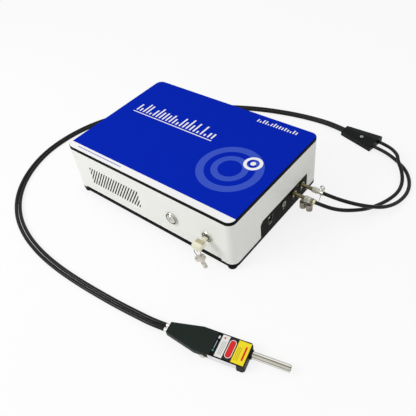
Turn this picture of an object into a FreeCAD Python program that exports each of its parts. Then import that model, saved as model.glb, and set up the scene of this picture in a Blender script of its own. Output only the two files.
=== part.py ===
import FreeCAD, Part
import math
import os

import Sketcher

# Bench spectrometer with a fibre probe. Millimetres, +Z up, front face toward -Y.
# Every sub-part is drawn in the frame of the case centre, or in a frame of its own, and placed from there.

Vector = FreeCAD.Vector
Rotation = FreeCAD.Rotation
document = FreeCAD.newDocument("Spectrometer")
sheet = document.addObject("Spreadsheet::Sheet", "Dimensions")

SIZES = {
    "shift_x": 0,
    "shift_y": 0,
    "gap": 0.3,
    "running": 0.05,
    # case
    "body_width": 330,
    "body_depth": 226,
    "corner_radius": 12,
    "wall": 2.5,
    "foot_height": 6.4,
    "base_thickness": 5.8,
    "shell_height": 78.3,
    "top_thickness": 5,
    "film_thickness": 0.3,
    "film_margin": 1.2,
    "front_strip": 12,
    "foot_inset_x": 10.5,
    "foot_inset_y": 8.5,
    "foot_radius": 8,
    "foot_toe_radius": 7,
    "post_radius": 5,
    "sill_left_inset": 17.5,
    "sill_right_inset": 23,
    "sill_height": 3.2,
    "sill_setback": 1.2,
    # front grille
    "vent_x": -66.3,
    "vent_z": 51,
    "vent_width": 110,
    "vent_height": 34,
    "vent_pitch": 5.6,
    "vent_slot": 2.5,
    "vent_slope": 0.6,
    # front controls
    "control_z": 49,
    "button_x": 55,
    "bezel_radius": 11,
    "barrel_radius": 9.5,
    "cap_radius": 7.3,
    "cap_travel": 1.5,
    "lock_x": 120.7,
    "lock_radius": 9.5,
    "lock_barrel_radius": 8,
    "rotor_radius": 5.45,
    "ring_radius": 6.8,
    "ring_wire": 0.6,
    # right side panel
    "panel_front": -47.5,
    "panel_back": 80.2,
    "panel_top": 42.6,
    "panel_chamfer": 5.5,
    "port_z": 32,
    "port_a_y": 63.7,
    "port_b_y": 40.3,
    "usb_y": -23,
    "jack_y": 13,
    "thread_radius": 3.175,
    "nut_radius": 4.75,
    "crimp_radius": 3.5,
    "connector_reach": 38.6,
    # inner floor plan
    "board_rise": 12.8,
    "board_thickness": 1.6,
    "bench_left": -130,
    "bench_front": -20,
    "bench_length": 150,
    "bench_width": 110,
    "bench_rise": 8.3,
    "bench_wall": 5,
    "bench_depth": 23,
    "bench_cover": 3,
    # cables
    "cord_diameter": 5.8,
    "cord_spacing": 6.3,
    "y_x": 141,
    "y_y": 256,
    "y_angle": -9,
    "y_length": 65,
    "y_split": 5.5,
    "y_narrow": 10,
    "y_wide": 18.5,
    "y_leg_offset": 8.2,
    "y_leg_z": 6.5,
    "y_twin_z": 5.5,
    # probe
    "probe_x": 62.2,
    "probe_y": -259,
    "probe_angle": 13.5,
    "probe_back": 92.4,
    "probe_shoulder": 135,
    "probe_cap_start": 192,
    "probe_front": 202,
    "probe_tip": 252,
    "probe_half_back": 7.7,
    "probe_half": 17,
    "probe_height": 13,
    "probe_lid": 2.5,
    "probe_chamfer": 4.6,
    "ferrule_offset": 1.2,
    "tube_radius": 4.75,
    "tube_spigot": 4,
    "tube_bore": 3.2,
    "tube_y": 6,
    "tube_z": 6.4,
    "trigger_x": 147.5,
    "trigger_z": 6.2,
    "trigger_radius": 3.6,
}

for row, (alias, number) in enumerate(SIZES.items(), 1):
    sheet.set("A%d" % row, alias)
    sheet.set("B%d" % row, str(number))
    sheet.setAlias("B%d" % row, alias)
document.recompute()


class Size:
    """A length that carries its number and its formula in the sheet."""

    def __init__(self, value, text=None):
        self.value = float(value)
        self.text = text or repr(self.value)

    def __float__(self):
        return self.value

    def __add__(self, other):
        return Size(self.value + float(other), "(%s + %s)" % (self.text, size(other).text))

    def __sub__(self, other):
        return Size(self.value - float(other), "(%s - %s)" % (self.text, size(other).text))

    def __mul__(self, other):
        return Size(self.value * float(other), "(%s * %s)" % (self.text, size(other).text))

    def __truediv__(self, other):
        return Size(self.value / float(other), "(%s / %s)" % (self.text, size(other).text))

    def __radd__(self, other):
        return size(other) + self

    def __rsub__(self, other):
        return size(other) - self

    def __rmul__(self, other):
        return self * other

    def __neg__(self):
        return self * -1


def size(value):
    return value if isinstance(value, Size) else Size(value)


class Cells:
    """One Size for each alias in the sheet."""

    def __init__(self):
        for alias in SIZES:
            setattr(self, alias, Size(sheet.get(alias), "Dimensions." + alias))


s = Cells()
parts = {}

# Drawing tools


def bind(item, field, length):
    """Ties a property to a formula when its length comes from the sheet."""
    length = size(length)
    if "Dimensions" in length.text:
        item.setExpression(field, length.text)


def fix(drawing, geometry, end, x, y):
    for kind, length in (("DistanceX", x), ("DistanceY", y)):
        number = drawing.addConstraint(Sketcher.Constraint(kind, -1, 1, geometry, end, float(length)))
        bind(drawing, "Constraints[%d]" % number, length)


def flat(x, y):
    return Vector(float(x), float(y), 0)


def circle(x, y, radius):
    def draw(drawing):
        number = drawing.addGeometry(Part.Circle(flat(x, y), Vector(0, 0, 1), float(radius)), False)
        limit = drawing.addConstraint(Sketcher.Constraint("Radius", number, float(radius)))
        bind(drawing, "Constraints[%d]" % limit, radius)
        fix(drawing, number, 3, x, y)
    return draw


def arc_to(start, stop, centre, radius):
    """The arc that runs anticlockwise from start to stop."""
    first = math.atan2(float(start[1]) - float(centre[1]), float(start[0]) - float(centre[0]))
    last = math.atan2(float(stop[1]) - float(centre[1]), float(stop[0]) - float(centre[0]))
    if last < first:
        last += 2 * math.pi
    return Part.ArcOfCircle(Part.Circle(flat(*centre), Vector(0, 0, 1), float(radius)), first, last)


def outline(vertices):
    """A closed outline, anticlockwise; a vertex (x, y, centre, radius) begins an arc."""
    def draw(drawing):
        count = len(vertices)
        first = drawing.GeometryCount
        for index, vertex in enumerate(vertices):
            after = vertices[(index + 1) % count]
            if len(vertex) == 4:
                geometry = arc_to(vertex, after, vertex[2], vertex[3])
            else:
                geometry = Part.LineSegment(flat(*vertex), flat(*after[:2]))
            drawing.addGeometry(geometry, False)
        for index, vertex in enumerate(vertices):
            after = first + (index + 1) % count
            drawing.addConstraint(Sketcher.Constraint("Coincident", first + index, 2, after, 1))
            if len(vertex) == 4:
                limit = drawing.addConstraint(Sketcher.Constraint("Radius", first + index, float(vertex[3])))
                bind(drawing, "Constraints[%d]" % limit, vertex[3])
            fix(drawing, first + index, 1, vertex[0], vertex[1])
    return draw


def polygon(*points):
    return outline(list(points))


def rectangle(x0, y0, x1, y1):
    return polygon((x0, y0), (x1, y0), (x1, y1), (x0, y1))


def centred(x, y, width, height):
    return rectangle(x - width / 2, y - height / 2, x + width / 2, y + height / 2)


def hexagon(x, y, across):
    reach = size(across) / math.sqrt(3)
    turns = [math.radians(60 * index) for index in range(6)]
    return polygon(*[(x + reach * math.cos(turn), y + reach * math.sin(turn)) for turn in turns])


def rounded(x0, y0, x1, y1, radii):
    """A rectangle whose corners, from low x and y round, are sharp where the radius is None."""
    corners = ((x0, y0, 1, 1), (x1, y0, -1, 1), (x1, y1, -1, -1), (x0, y1, 1, -1))
    vertices = []
    for index, ((x, y, along_x, along_y), radius) in enumerate(zip(corners, radii)):
        if radius is None:
            vertices.append((x, y))
            continue
        centre = (x + radius * along_x, y + radius * along_y)
        entry, leave = (x, centre[1]), (centre[0], y)
        if index % 2:
            entry, leave = leave, entry
        vertices.append((entry[0], entry[1], centre, radius))
        vertices.append(leave)
    return outline(vertices)


def new_body(label):
    body = document.addObject("PartDesign::Body", label)
    body.Label = label
    body.AllowCompound = True
    return body


def sketch(body, role, lift, loops):
    drawing = body.newObject("Sketcher::SketchObject", "Sketch")
    plane = [item for item in body.Origin.OriginFeatures if item.Role == role][0]
    drawing.AttachmentSupport = [(plane, "")]
    drawing.MapMode = "FlatFace"
    drawing.AttachmentOffset = FreeCAD.Placement(Vector(0, 0, float(lift)), Rotation())
    bind(drawing, "AttachmentOffset.Base.z", lift)
    for loop in loops:
        loop(drawing)
    return drawing


def extrude(body, kind, role, low, high, loops):
    """Pads or pockets from low to high along the normal of the plane; XZ_Plane counts toward the front."""
    drawing = sketch(body, role + "_Plane", low, loops)
    feature = body.newObject("PartDesign::" + kind, kind)
    feature.Profile = drawing
    feature.Length = float(high) - float(low)
    bind(feature, "Length", size(high) - low)
    feature.Reversed = kind == "Pocket"
    drawing.Visibility = False
    return feature


def add(body, role, low, high, *loops):
    return extrude(body, "Pad", role, low, high, loops)


def cut(body, role, low, high, *loops):
    return extrude(body, "Pocket", role, low, high, loops)


def turn(body, kind, *points):
    """Revolves a profile of (radius, height) about the local Z axis."""
    drawing = sketch(body, "XZ_Plane", 0, [polygon(*points)])
    feature = body.newObject("PartDesign::" + kind, kind)
    feature.Profile = drawing
    feature.ReferenceAxis = (drawing, ["V_Axis"])
    feature.Angle = 360
    return feature


def dress(body, kind, amount, chosen):
    """Fillets or chamfers every edge of the tip that the test picks."""
    document.recompute()
    tip = body.Tip
    names = ["Edge%d" % index for index, edge in enumerate(tip.Shape.Edges, 1) if chosen(edge)]
    feature = body.newObject("PartDesign::" + kind, kind)
    feature.Base = (tip, names)
    field = "Radius" if kind == "Fillet" else "Size"
    setattr(feature, field, float(amount))
    bind(feature, field, amount)
    return feature


def at_height(height):
    """Picks the edges that lie level at one height."""
    def chosen(edge):
        box = edge.BoundBox
        return abs(box.ZMin - float(height)) < 1e-4 and abs(box.ZMax - float(height)) < 1e-4
    return chosen


def place(item, x, y, z, axis=Vector(0, 0, 1), angle=0.0, group=False):
    """Sets a placement from the case centre; the shift brings the part over its origin."""
    if not group:
        x, y = s.shift_x + x, s.shift_y + y
    item.Placement = FreeCAD.Placement(Vector(float(x), float(y), float(z)), Rotation(axis, float(angle)))
    for name, length in (("x", x), ("y", y), ("z", z)):
        bind(item, "Placement.Base." + name, length)
    bind(item, "Placement.Rotation.Angle", angle)


def keep(item, x=0.0, y=0.0, z=0.0, axis=Vector(0, 0, 1), angle=0.0):
    place(item, x, y, z, axis, angle)
    parts[item.Label] = item


def copies(label, pattern, places):
    """One node of several equal solids, each a placed link to the same pattern."""
    links = []
    for x, y, z in places:
        link = document.addObject("App::Link", label + "_link")
        link.LinkedObject = pattern
        place(link, x, y, z, group=True)
        links.append(link)
    keep(combine(label, "Compound", *links))


def combine(label, kind, *items):
    item = document.addObject("Part::" + kind, label)
    item.Label = label
    if kind in ("Cut", "Common"):
        item.Base, item.Tool = items
    elif kind == "Compound":
        item.Links = list(items)
    else:
        item.Shapes = list(items)
    return item


FRONTWARD = dict(axis=Vector(1, 0, 0), angle=90)
SIDEWARD = dict(axis=Vector(0, 1, 0), angle=90)

# Case levels and corners

base_z = s.foot_height
shell_z = base_z + s.base_thickness
top_z = shell_z + s.shell_height
film_z = top_z + s.top_thickness
right = s.body_width / 2
back = s.body_depth / 2
corner_x = right - s.foot_inset_x
corner_y = back - s.foot_inset_y
corners = [(corner_x * i, corner_y * j) for i in (-1, 1) for j in (-1, 1)]
outer_radii = [s.corner_radius] * 4
board_z = shell_z + s.board_rise
board_top = board_z + s.board_thickness

M4_RADIUS = 2.0
M3_RADIUS = 1.5
SLACK = 0.05

# Positions of the screws and standoffs that stand on the base plate
board_front = -back + 25
driver_board = (-right + 30, board_front, s.bench_left + 110, s.bench_front - 18)
control_board = (right - 125, board_front, right - 7, s.bench_front + 45)


def inset_corners(x0, y0, x1, y1, inset):
    return [(x, y) for x in (x0 + inset, x1 - inset) for y in (y0 + inset, y1 - inset)]


driver_points = inset_corners(*driver_board, 4)
control_points = inset_corners(*control_board[:2], right - 15, control_board[3], 4)
board_points = driver_points + control_points
bench_right = s.bench_left + s.bench_length
bench_back = s.bench_front + s.bench_width
bench_z = shell_z + s.bench_rise
bench_points = inset_corners(s.bench_left, s.bench_front, bench_right, bench_back, 12)
sill_left, sill_right = -right + s.sill_left_inset, right - s.sill_right_inset
sill_points = [(x, -back + 7) for x in (sill_left + 40, (sill_left + sill_right) / 2, sill_right - 40)]
panel_middle = (s.panel_front + s.panel_back) / 2
panel_points = [(right - 9, y) for y in (s.panel_front + 12, panel_middle, s.panel_back - 12)]
laser_x, laser_y = right - 107, s.port_a_y + 6.3
laser_points = [(laser_x + i, laser_y + j) for i in (4, 72) for j in (-23.5, 23.5)]
fan_x, fan_z = s.vent_x, s.vent_z
bracket_points = [(fan_x - 14, -back + 21.5), (fan_x + 14, -back + 21.5)]
chassis_points = panel_points + laser_points + bracket_points + sill_points

# Base plate

base = new_body("base_plate")
add(base, "XY", base_z, shell_z, rounded(-right, -back, right, back, outer_radii))
cut(base, "XY", base_z, shell_z, *[circle(x, y, M4_RADIUS + 0.2) for x, y in corners])
cut(base, "XY", shell_z - 3.3, shell_z,
    *[circle(x, y, M3_RADIUS + SLACK) for x, y in board_points + bench_points + chassis_points])
keep(base)

# Front sill, an angle strip set back in the notch under the shell's front edge

sill_top = shell_z + s.sill_height - s.gap
sill_flange = 1.5
sill = new_body("front_sill")
add(sill, "YZ", sill_left, sill_right, polygon(
    (-back + s.sill_setback, shell_z), (-back + 11, shell_z), (-back + 11, shell_z + sill_flange),
    (-back + s.wall, shell_z + sill_flange), (-back + s.wall, sill_top), (-back + s.sill_setback, sill_top)))
cut(sill, "XY", shell_z, shell_z + sill_flange, *[circle(x, y, M3_RADIUS + 0.2) for x, y in sill_points])
keep(sill)

# Rubber feet, the screws of the underside and the corner posts

foot_seat = s.foot_height * 0.5
foot = new_body("foot_pattern")
turn(foot, "Revolution", (M4_RADIUS + 0.2, foot_seat), (4.4, foot_seat), (4.4, 0), (s.foot_toe_radius, 0),
     (s.foot_radius, s.foot_height), (M4_RADIUS + 0.2, s.foot_height))
copies("feet", foot, [(x, y, 0) for x, y in corners])

screws = new_body("underside_screws")
add(screws, "XY", foot_seat - 2.6, foot_seat, *[circle(x, y, 3.9) for x, y in corners])
add(screws, "XY", foot_seat, shell_z + 6, *[circle(x, y, M4_RADIUS) for x, y in corners])
cut(screws, "XY", foot_seat - 2.6, foot_seat - 1, *[hexagon(x, y, 2.5) for x, y in corners])
keep(screws)

posts = new_body("corner_posts")
add(posts, "XY", shell_z, top_z, *[circle(x, y, s.post_radius) for x, y in corners])
add(posts, "XY", top_z, top_z + 3.5, *[circle(x, y, 3) for x, y in corners])
cut(posts, "XY", shell_z, shell_z + 9, *[circle(x, y, M4_RADIUS + SLACK) for x, y in corners])
keep(posts)

# Shell: one wrapped wall with the slanted grille, the control holes and the side window

inner_right = right - s.wall
inner_back = back - s.wall
wall_shape = new_body("shell_wall")
add(wall_shape, "XY", shell_z, top_z, rounded(-right, -back, right, back, outer_radii))
cut(wall_shape, "XY", shell_z, top_z,
    rounded(-inner_right, -inner_back, inner_right, inner_back, [s.corner_radius - s.wall] * 4))
cut(wall_shape, "XZ", inner_back - 1, back + 1,
    circle(s.button_x, s.control_z, s.barrel_radius + 0.2),
    circle(s.lock_x, s.control_z, s.lock_barrel_radius + 0.2))


def panel_outline(margin, floor):
    """The side panel seen from the side, with its sloped front top corner."""
    front, rear, top = s.panel_front - margin, s.panel_back + margin, s.panel_top + margin
    return polygon((front, floor), (rear, floor), (rear, top), (front + s.panel_chamfer, top),
                   (front, top - s.panel_chamfer))


cut(wall_shape, "YZ", inner_right - 1, right + 1, panel_outline(s.gap, shell_z))
cut(wall_shape, "XZ", inner_back - 1, back + 1,
    rectangle(sill_left - s.gap, shell_z - 1, sill_right + s.gap, shell_z + s.sill_height))
rear_slots = [centred(-60 + 5.6 * index, s.vent_z, 2.5, s.vent_height) for index in range(16)]
cut(wall_shape, "XZ", -back - 1, -inner_back + 1, *rear_slots)

lean = s.vent_slope * (s.vent_height / 2 + 4)
bars = []
for index in range(-11, 12):
    middle = s.vent_x + s.vent_pitch * index
    low_z, high_z = s.vent_z - s.vent_height / 2 - 4, s.vent_z + s.vent_height / 2 + 4
    half = s.vent_slot / 2
    bars.append(polygon((middle - lean - half, low_z), (middle - lean + half, low_z),
                        (middle + lean + half, high_z), (middle + lean - half, high_z)))
slanted = new_body("grille_bars")
add(slanted, "XZ", inner_back - 1, back + 1, *bars)
window = new_body("grille_window")
add(window, "XZ", inner_back - 2, back + 2, centred(s.vent_x, s.vent_z, s.vent_width, s.vent_height))
grille = combine("grille_cutter", "Common", slanted, window)
shell = combine("shell", "Cut", wall_shape, grille)
keep(shell)

# Top plate and its printed films

top = new_body("top_plate")
add(top, "XY", top_z, film_z, rounded(-right, -back, right, back, outer_radii))
cut(top, "XY", top_z, top_z + 3.7, *[circle(x, y, 3 + SLACK) for x, y in corners])
dress(top, "Fillet", 1.0, at_height(film_z))
keep(top)

film_radius = s.corner_radius - s.film_margin
film_x, film_y = right - s.film_margin, back - s.film_margin
strip_y = -film_y + s.front_strip
film = new_body("top_film")
add(film, "XY", film_z, film_z + s.film_thickness,
    rounded(-film_x, strip_y, film_x, film_y, [None, None, film_radius, film_radius]))
strip_radius = s.front_strip - 1.3
add(film, "XY", film_z, film_z + s.film_thickness,
    rounded(-film_x, -film_y, film_x, strip_y - 0.1, [strip_radius, strip_radius, None, None]))
keep(film)

# Power button: housing and travelling cap; local Z points out of the front

button = new_body("power_button_housing")
bore = s.cap_radius + s.running
turn(button, "Revolution", (0, -20), (s.barrel_radius, -20), (s.barrel_radius, 0), (s.bezel_radius, 0),
     (s.bezel_radius, 1.7), (s.bezel_radius - 0.9, 2.6), (bore, 2.6), (bore, -10), (0, -10))
add(button, "XY", -25, -20, *[centred(x, y, 0.8, 2.8) for x, y in ((-4, 0), (4, 0), (0, -5), (0, 5))])
keep(button, s.button_x, -back, s.control_z, **FRONTWARD)

cap = new_body("power_button_cap")
cap_back = -9.7 + s.cap_travel
turn(cap, "Revolution", (0, cap_back), (s.cap_radius, cap_back), (s.cap_radius, 2.6), (s.cap_radius - 0.5, 3.1),
     (5.2, 3.1), (5.2, 2.7), (4.4, 2.7), (4.4, 3.1), (0, 3.1))
keep(cap, s.button_x, -back, s.control_z, **FRONTWARD)

# Key switch: housing, rotor with its cam, key

lock = new_body("lock_housing")
lock_bore = s.rotor_radius + s.running
turn(lock, "Revolution", (lock_bore, -21), (s.lock_barrel_radius, -21), (s.lock_barrel_radius, 0),
     (s.lock_radius, 0), (s.lock_radius, 1), (s.lock_radius - 0.8, 1.8), (lock_bore, 1.8))
keep(lock, s.lock_x, -back, s.control_z, **FRONTWARD)

blade_width, blade_thickness = 6.6, 1.8
rotor = new_body("lock_rotor")
turn(rotor, "Revolution", (0, -21.3), (s.rotor_radius, -21.3), (s.rotor_radius, 2), (0, 2))
add(rotor, "XY", -22.8, -21.3, centred(size(0), size(-3), 7, 14))
cut(rotor, "XY", -9, 3, centred(size(0), size(0), blade_width + 0.3, blade_thickness + 0.3))
keep(rotor, s.lock_x, -back, s.control_z, **FRONTWARD)

head_near, head_far = 12, 25
lug_z = -5.7
key = new_body("key")
add(key, "XY", -8.7, head_near, centred(size(0), size(0), blade_width, blade_thickness))
add(key, "XY", head_near, head_far, centred(size(0), size(0), 15, 8))
dress(key, "Fillet", 1.2, lambda edge: edge.BoundBox.ZLength > 12.9 and abs(edge.BoundBox.Center.x) > 7.4)
add(key, "YZ", -1.5, 1.5, polygon((lug_z - 2.2, head_far - 4.6), (-3.5, head_far - 4.6),
                                  (-3.5, head_far), (lug_z - 2.2, head_far)))
cut(key, "YZ", -2, 2, circle(lug_z, head_far - 2.3, s.ring_wire + 0.4))
keep(key, s.lock_x, -back, s.control_z, **FRONTWARD)

ring_y = -back - head_far + 2.3
ring_x = s.lock_x
ring_z = s.control_z + lug_z - s.ring_radius
ring = document.addObject("Part::Torus", "key_ring")
ring.Label = "key_ring"
bind(ring, "Radius1", s.ring_radius)
bind(ring, "Radius2", s.ring_wire)
keep(ring, ring_x, ring_y, ring_z, **FRONTWARD)

# Spare key: flat steel, bow hole on the ring, its face turned toward the right front
hang = 20
hang_x = ring_x + s.ring_radius * math.sin(math.radians(hang))
hang_z = ring_z - s.ring_radius * math.cos(math.radians(hang)) - 0.45
spare = new_body("spare_key")
bow_z = -4.8
hole_radius = 2.4
half_key = 0.8
add(spare, "XZ", -half_key, half_key, rounded(-7.5, bow_z - 4, 7.5, 4.2, [4.5] * 4))
add(spare, "XZ", -half_key, half_key, polygon(
    (-3, -26), (1.5, -26), (3, -24.5), (3, -22.4), (1.9, -21.2), (1.9, -20), (3, -18.8), (3, -17.4),
    (2.2, -16.4), (3, -15.2), (3, bow_z), (-3, bow_z)))
cut(spare, "XZ", -half_key, half_key, circle(0, 0, hole_radius))
spare_turn = Rotation(Vector(0, 0, 1), 45).multiply(Rotation(Vector(0, 1, 0), -14))
keep(spare, hang_x, ring_y, hang_z, spare_turn.Axis, math.degrees(spare_turn.Angle))

# Side panel with its sockets

panel = new_body("connector_panel")
add(panel, "YZ", inner_right, right, panel_outline(0, shell_z))
add(panel, "XY", shell_z, shell_z + 2, rectangle(right - 16, s.panel_front, inner_right, s.panel_back))
cut(panel, "YZ", inner_right - 1, right + 1, circle(s.port_a_y, s.port_z, 4.2),
    circle(s.port_b_y, s.port_z, 4.2), circle(s.jack_y, s.port_z, 4.2),
    centred(s.usb_y, s.port_z, 12.6, 11.4))
cut(panel, "XY", shell_z, shell_z + 2, *[circle(x, y, M3_RADIUS + 0.2) for x, y in panel_points])
keep(panel)

usb = new_body("usb_socket")
usb_back = right - 15.5
add(usb, "YZ", usb_back, right + 0.3, centred(s.usb_y, s.port_z, 12, 10.8))
cut(usb, "YZ", usb_back + 4, right + 0.3, centred(s.usb_y, s.port_z, 10.8, 9.6))
add(usb, "YZ", usb_back + 4, right - 2, centred(s.usb_y, s.port_z, 5.6, 3.2))
keep(usb)

jack = new_body("power_jack")
turn(jack, "Revolution", (0, -14), (4, -14), (4, 0), (5.5, 0), (5.5, 1), (2.9, 1), (2.9, -11), (1, -11), (1, 0),
     (0, 0))
keep(jack, right, s.jack_y, s.port_z, **SIDEWARD)

fibre_bore = 1.6
port = new_body("port_pattern")
turn(port, "Revolution", (fibre_bore, -9), (4, -9), (4, 0), (5.5, 0), (5.5, 2.5), (s.thread_radius, 2.5),
     (s.thread_radius, 22), (fibre_bore, 22))
port_places = [(right, s.port_a_y, s.port_z), (right, s.port_b_y, s.port_z)]
ports = []
for x, y, z in port_places:
    link = document.addObject("App::Link", "port_link")
    link.LinkedObject = port
    place(link, x, y, z, Vector(0, 1, 0), 90, group=True)
    ports.append(link)
keep(combine("fibre_ports", "Compound", *ports))

nuts = new_body("panel_nuts")
add(nuts, "XZ", inner_back - 4, inner_back,
    hexagon(s.button_x, s.control_z, 22), circle(s.button_x, s.control_z, s.barrel_radius + SLACK))
add(nuts, "XZ", inner_back - 3, inner_back,
    hexagon(s.lock_x, s.control_z, 20), circle(s.lock_x, s.control_z, s.lock_barrel_radius + SLACK))
for y in (s.port_a_y, s.port_b_y, s.jack_y):
    add(nuts, "YZ", inner_right - 2.5, inner_right, hexagon(y, s.port_z, 11), circle(y, s.port_z, 4 + SLACK))
keep(nuts)

# Fibre connectors with their free-turning nuts; local Z runs outward from the panel

crimp_start = 30.6
collar_top = 27.4
for letter, y in (("a", s.port_a_y), ("b", s.port_b_y)):
    nut = new_body("coupling_nut_" + letter)
    turn(nut, "Revolution", (s.thread_radius + s.running, 20.2), (s.nut_radius - 0.4, 20.2), (s.nut_radius, 20.8),
         (s.nut_radius, 29.6), (s.nut_radius - 0.6, 30.3), (2.5 + s.running, 30.3), (2.5 + s.running, 27.5),
         (s.thread_radius + s.running, 27.5))
    flutes = [math.radians(20 * index) for index in range(18)]
    cut(nut, "XY", 21.5, 26.5, *[circle(s.nut_radius * math.cos(turned), s.nut_radius * math.sin(turned), 0.4)
                                 for turned in flutes])
    keep(nut, right, y, s.port_z, **SIDEWARD)
    connector = new_body("connector_" + letter)
    turn(connector, "Revolution", (0, 8), (fibre_bore - SLACK, 8), (fibre_bore - SLACK, 22.3), (3, 22.3),
         (3, collar_top), (2.5, collar_top), (2.5, crimp_start), (s.crimp_radius, crimp_start),
         (s.crimp_radius, s.connector_reach), (0, s.connector_reach))
    keep(connector, right, y, s.port_z, **SIDEWARD)

# Tether of the upper connector: a clamp band with an eye, and a thin wire to the lower connector

band_x = right + 35.4
tether_y = (s.port_a_y + s.port_b_y) / 2
bands = new_body("tether_bands")
add(bands, "YZ", band_x - 1.5, band_x + 3, circle(s.port_a_y, s.port_z, 4.7),
    circle(s.port_a_y, s.port_z, s.crimp_radius))
add(bands, "YZ", band_x, band_x + 2, circle(s.port_b_y, s.port_z, 4.3), circle(s.port_b_y, s.port_z, s.crimp_radius))
add(bands, "XY", s.port_z + 4.3, s.port_z + 8, circle(band_x + 1, s.port_a_y, 1))
eye = document.addObject("Part::Torus", "tether_eye")
eye.Radius1 = 2.9
eye.Radius2 = 1.1
place(eye, band_x + 1, s.port_a_y, s.port_z + 11, Vector(1, 0, 0), 90, group=True)

# Dust caps: hanger on the lower connector, two knurled caps under it

cap_top = s.port_z - 8.5
hanger = new_body("dust_caps")
hanger_x = right + 31.6
add(hanger, "YZ", hanger_x, hanger_x + 2.6, circle(s.port_b_y, s.port_z, 4.6),
    circle(s.port_b_y, s.port_z, s.crimp_radius + s.running))
add(hanger, "YZ", hanger_x, hanger_x + 2.6,
    centred(s.port_b_y, cap_top + 2.4, 3, 4.8))
add(hanger, "XY", cap_top, cap_top + 1.4,
    rectangle(right + 13, s.port_b_y - 2, hanger_x + 2.6, s.port_b_y + 2))
cap_spots = [(right + 17.2, s.port_b_y), (right + 28.4, s.port_b_y)]
add(hanger, "XY", cap_top - 11.5, cap_top, *[circle(x, y, 5) for x, y in cap_spots])
cut(hanger, "XY", cap_top - 11.5, cap_top - 4, *[circle(x, y, 3.3) for x, y in cap_spots])
knurls = []
for x, y in cap_spots:
    for index in range(18):
        turned = math.radians(20 * index)
        knurls.append(circle(x + 5 * math.cos(turned), y + 5 * math.sin(turned), 0.45))
cut(hanger, "XY", cap_top - 10, cap_top - 3, *knurls)
keep(hanger)

# Fan behind the grille: frame, rotor, bracket, screws; local Z points out of the front

fan_front, fan_back = -s.wall, -s.wall - 10
fan_holes = inset_corners(-20, -20, 20, 20, 4)
frame = new_body("fan_frame")
add(frame, "XY", fan_back, fan_front, centred(size(0), size(0), 40, 40), circle(0, 0, 19))
add(frame, "XY", fan_back, fan_back + 2, circle(0, 0, 7))
add(frame, "XY", fan_back, fan_back + 1.5, centred(size(0), size(0), 39, 2.4))
add(frame, "XY", fan_back, fan_back + 1.5, centred(size(0), size(0), 2.4, 39))
cut(frame, "XY", fan_back, fan_front, *[circle(x, y, M3_RADIUS + 0.1) for x, y in fan_holes])
cut(frame, "XY", fan_back, fan_front, circle(0, 0, 1.05))
keep(frame, fan_x, -back, fan_z, **FRONTWARD)

hub = new_body("fan_hub")
add(hub, "XY", fan_back + 2.4, fan_front - 0.8, circle(0, 0, 8))
add(hub, "XY", fan_back + 0.4, fan_back + 2.4, circle(0, 0, 1))
blades = [hub]
for index in range(7):
    blade = document.addObject("Part::Box", "fan_blade")
    blade.Length = 11
    blade.Width = 9
    blade.Height = 1
    pitch = Rotation(Vector(1, 0, 0), 38)
    spin = Rotation(Vector(0, 0, 1), 360 / 7 * index)
    start = spin.multVec(pitch.multVec(Vector(0, -4.5, -0.5)) + Vector(7.4, 0, 0))
    blade.Placement = FreeCAD.Placement(start + Vector(0, 0, float(fan_back) + 5.7), spin.multiply(pitch))
    bind(blade, "Placement.Base.z", size(blade.Placement.Base.z - float(fan_back)) + fan_back)
    blades.append(blade)
fan_rotor = combine("fan_rotor", "MultiFuse", *blades)
keep(fan_rotor, fan_x, -back, fan_z, **FRONTWARD)

bracket = new_body("fan_bracket")
add(bracket, "XZ", back - s.wall - 11.5, back - s.wall - 10, rectangle(fan_x - 21, shell_z, fan_x + 21, fan_z + 21),
    circle(fan_x, fan_z, 19))
add(bracket, "XY", shell_z, shell_z + 1.5,
    rectangle(fan_x - 21, -back + s.wall + 11.5, fan_x + 21, -back + s.wall + 23))
cut(bracket, "XZ", back - s.wall - 12, back - s.wall - 9,
    *[circle(fan_x + x, fan_z + y, M3_RADIUS + 0.1) for x, y in fan_holes])
cut(bracket, "XY", shell_z, shell_z + 2, *[circle(x, y, M3_RADIUS + 0.2) for x, y in bracket_points])
keep(bracket)

# Screws that hold the inner pieces: fan, angle pieces and laser, boards, bench cover

inner_screws = new_body("inner_screws")
fan_seat = inner_back - 11.5
fan_spots = [(fan_x + x, fan_z + y) for x, y in fan_holes]
add(inner_screws, "XZ", fan_seat, inner_back - 0.5, *[circle(x, y, M3_RADIUS) for x, y in fan_spots])
add(inner_screws, "XZ", fan_seat - 1.8, fan_seat, *[circle(x, y, 2.7) for x, y in fan_spots])
for points, seat in ((panel_points, 2), (laser_points, 5), (bracket_points, 1.5), (sill_points, sill_flange)):
    add(inner_screws, "XY", shell_z - 3, shell_z + seat, *[circle(x, y, M3_RADIUS) for x, y in points])
    add(inner_screws, "XY", shell_z + seat, shell_z + seat + 1.8, *[circle(x, y, 2.7) for x, y in points])
add(inner_screws, "XY", board_z - 5, board_top, *[circle(x, y, 1.25) for x, y in board_points])
add(inner_screws, "XY", board_top, board_top + 1.6, *[circle(x, y, 2.6) for x, y in board_points])
cover_z = bench_z + s.bench_depth
cover_top = cover_z + s.bench_cover
lid_points = inset_corners(s.bench_left, s.bench_front, bench_right, bench_back, 2.6)
add(inner_screws, "XY", cover_z - 5, cover_top, *[circle(x, y, 1) for x, y in lid_points])
add(inner_screws, "XY", cover_top, cover_top + 1.4, *[circle(x, y, 1.9) for x, y in lid_points])
keep(inner_screws)

# Circuit boards with their chips, and all the standoffs

def board(label, area, points, blocks):
    item = new_body(label)
    add(item, "XY", board_z, board_top, rectangle(*area))
    cut(item, "XY", board_z, board_top, *[circle(x, y, M3_RADIUS) for x, y in points])
    for x, y, width, depth, height in blocks:
        add(item, "XY", board_top, board_top + height, centred(area[0] + x, area[1] + y, width, depth))
    keep(item)


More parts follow.
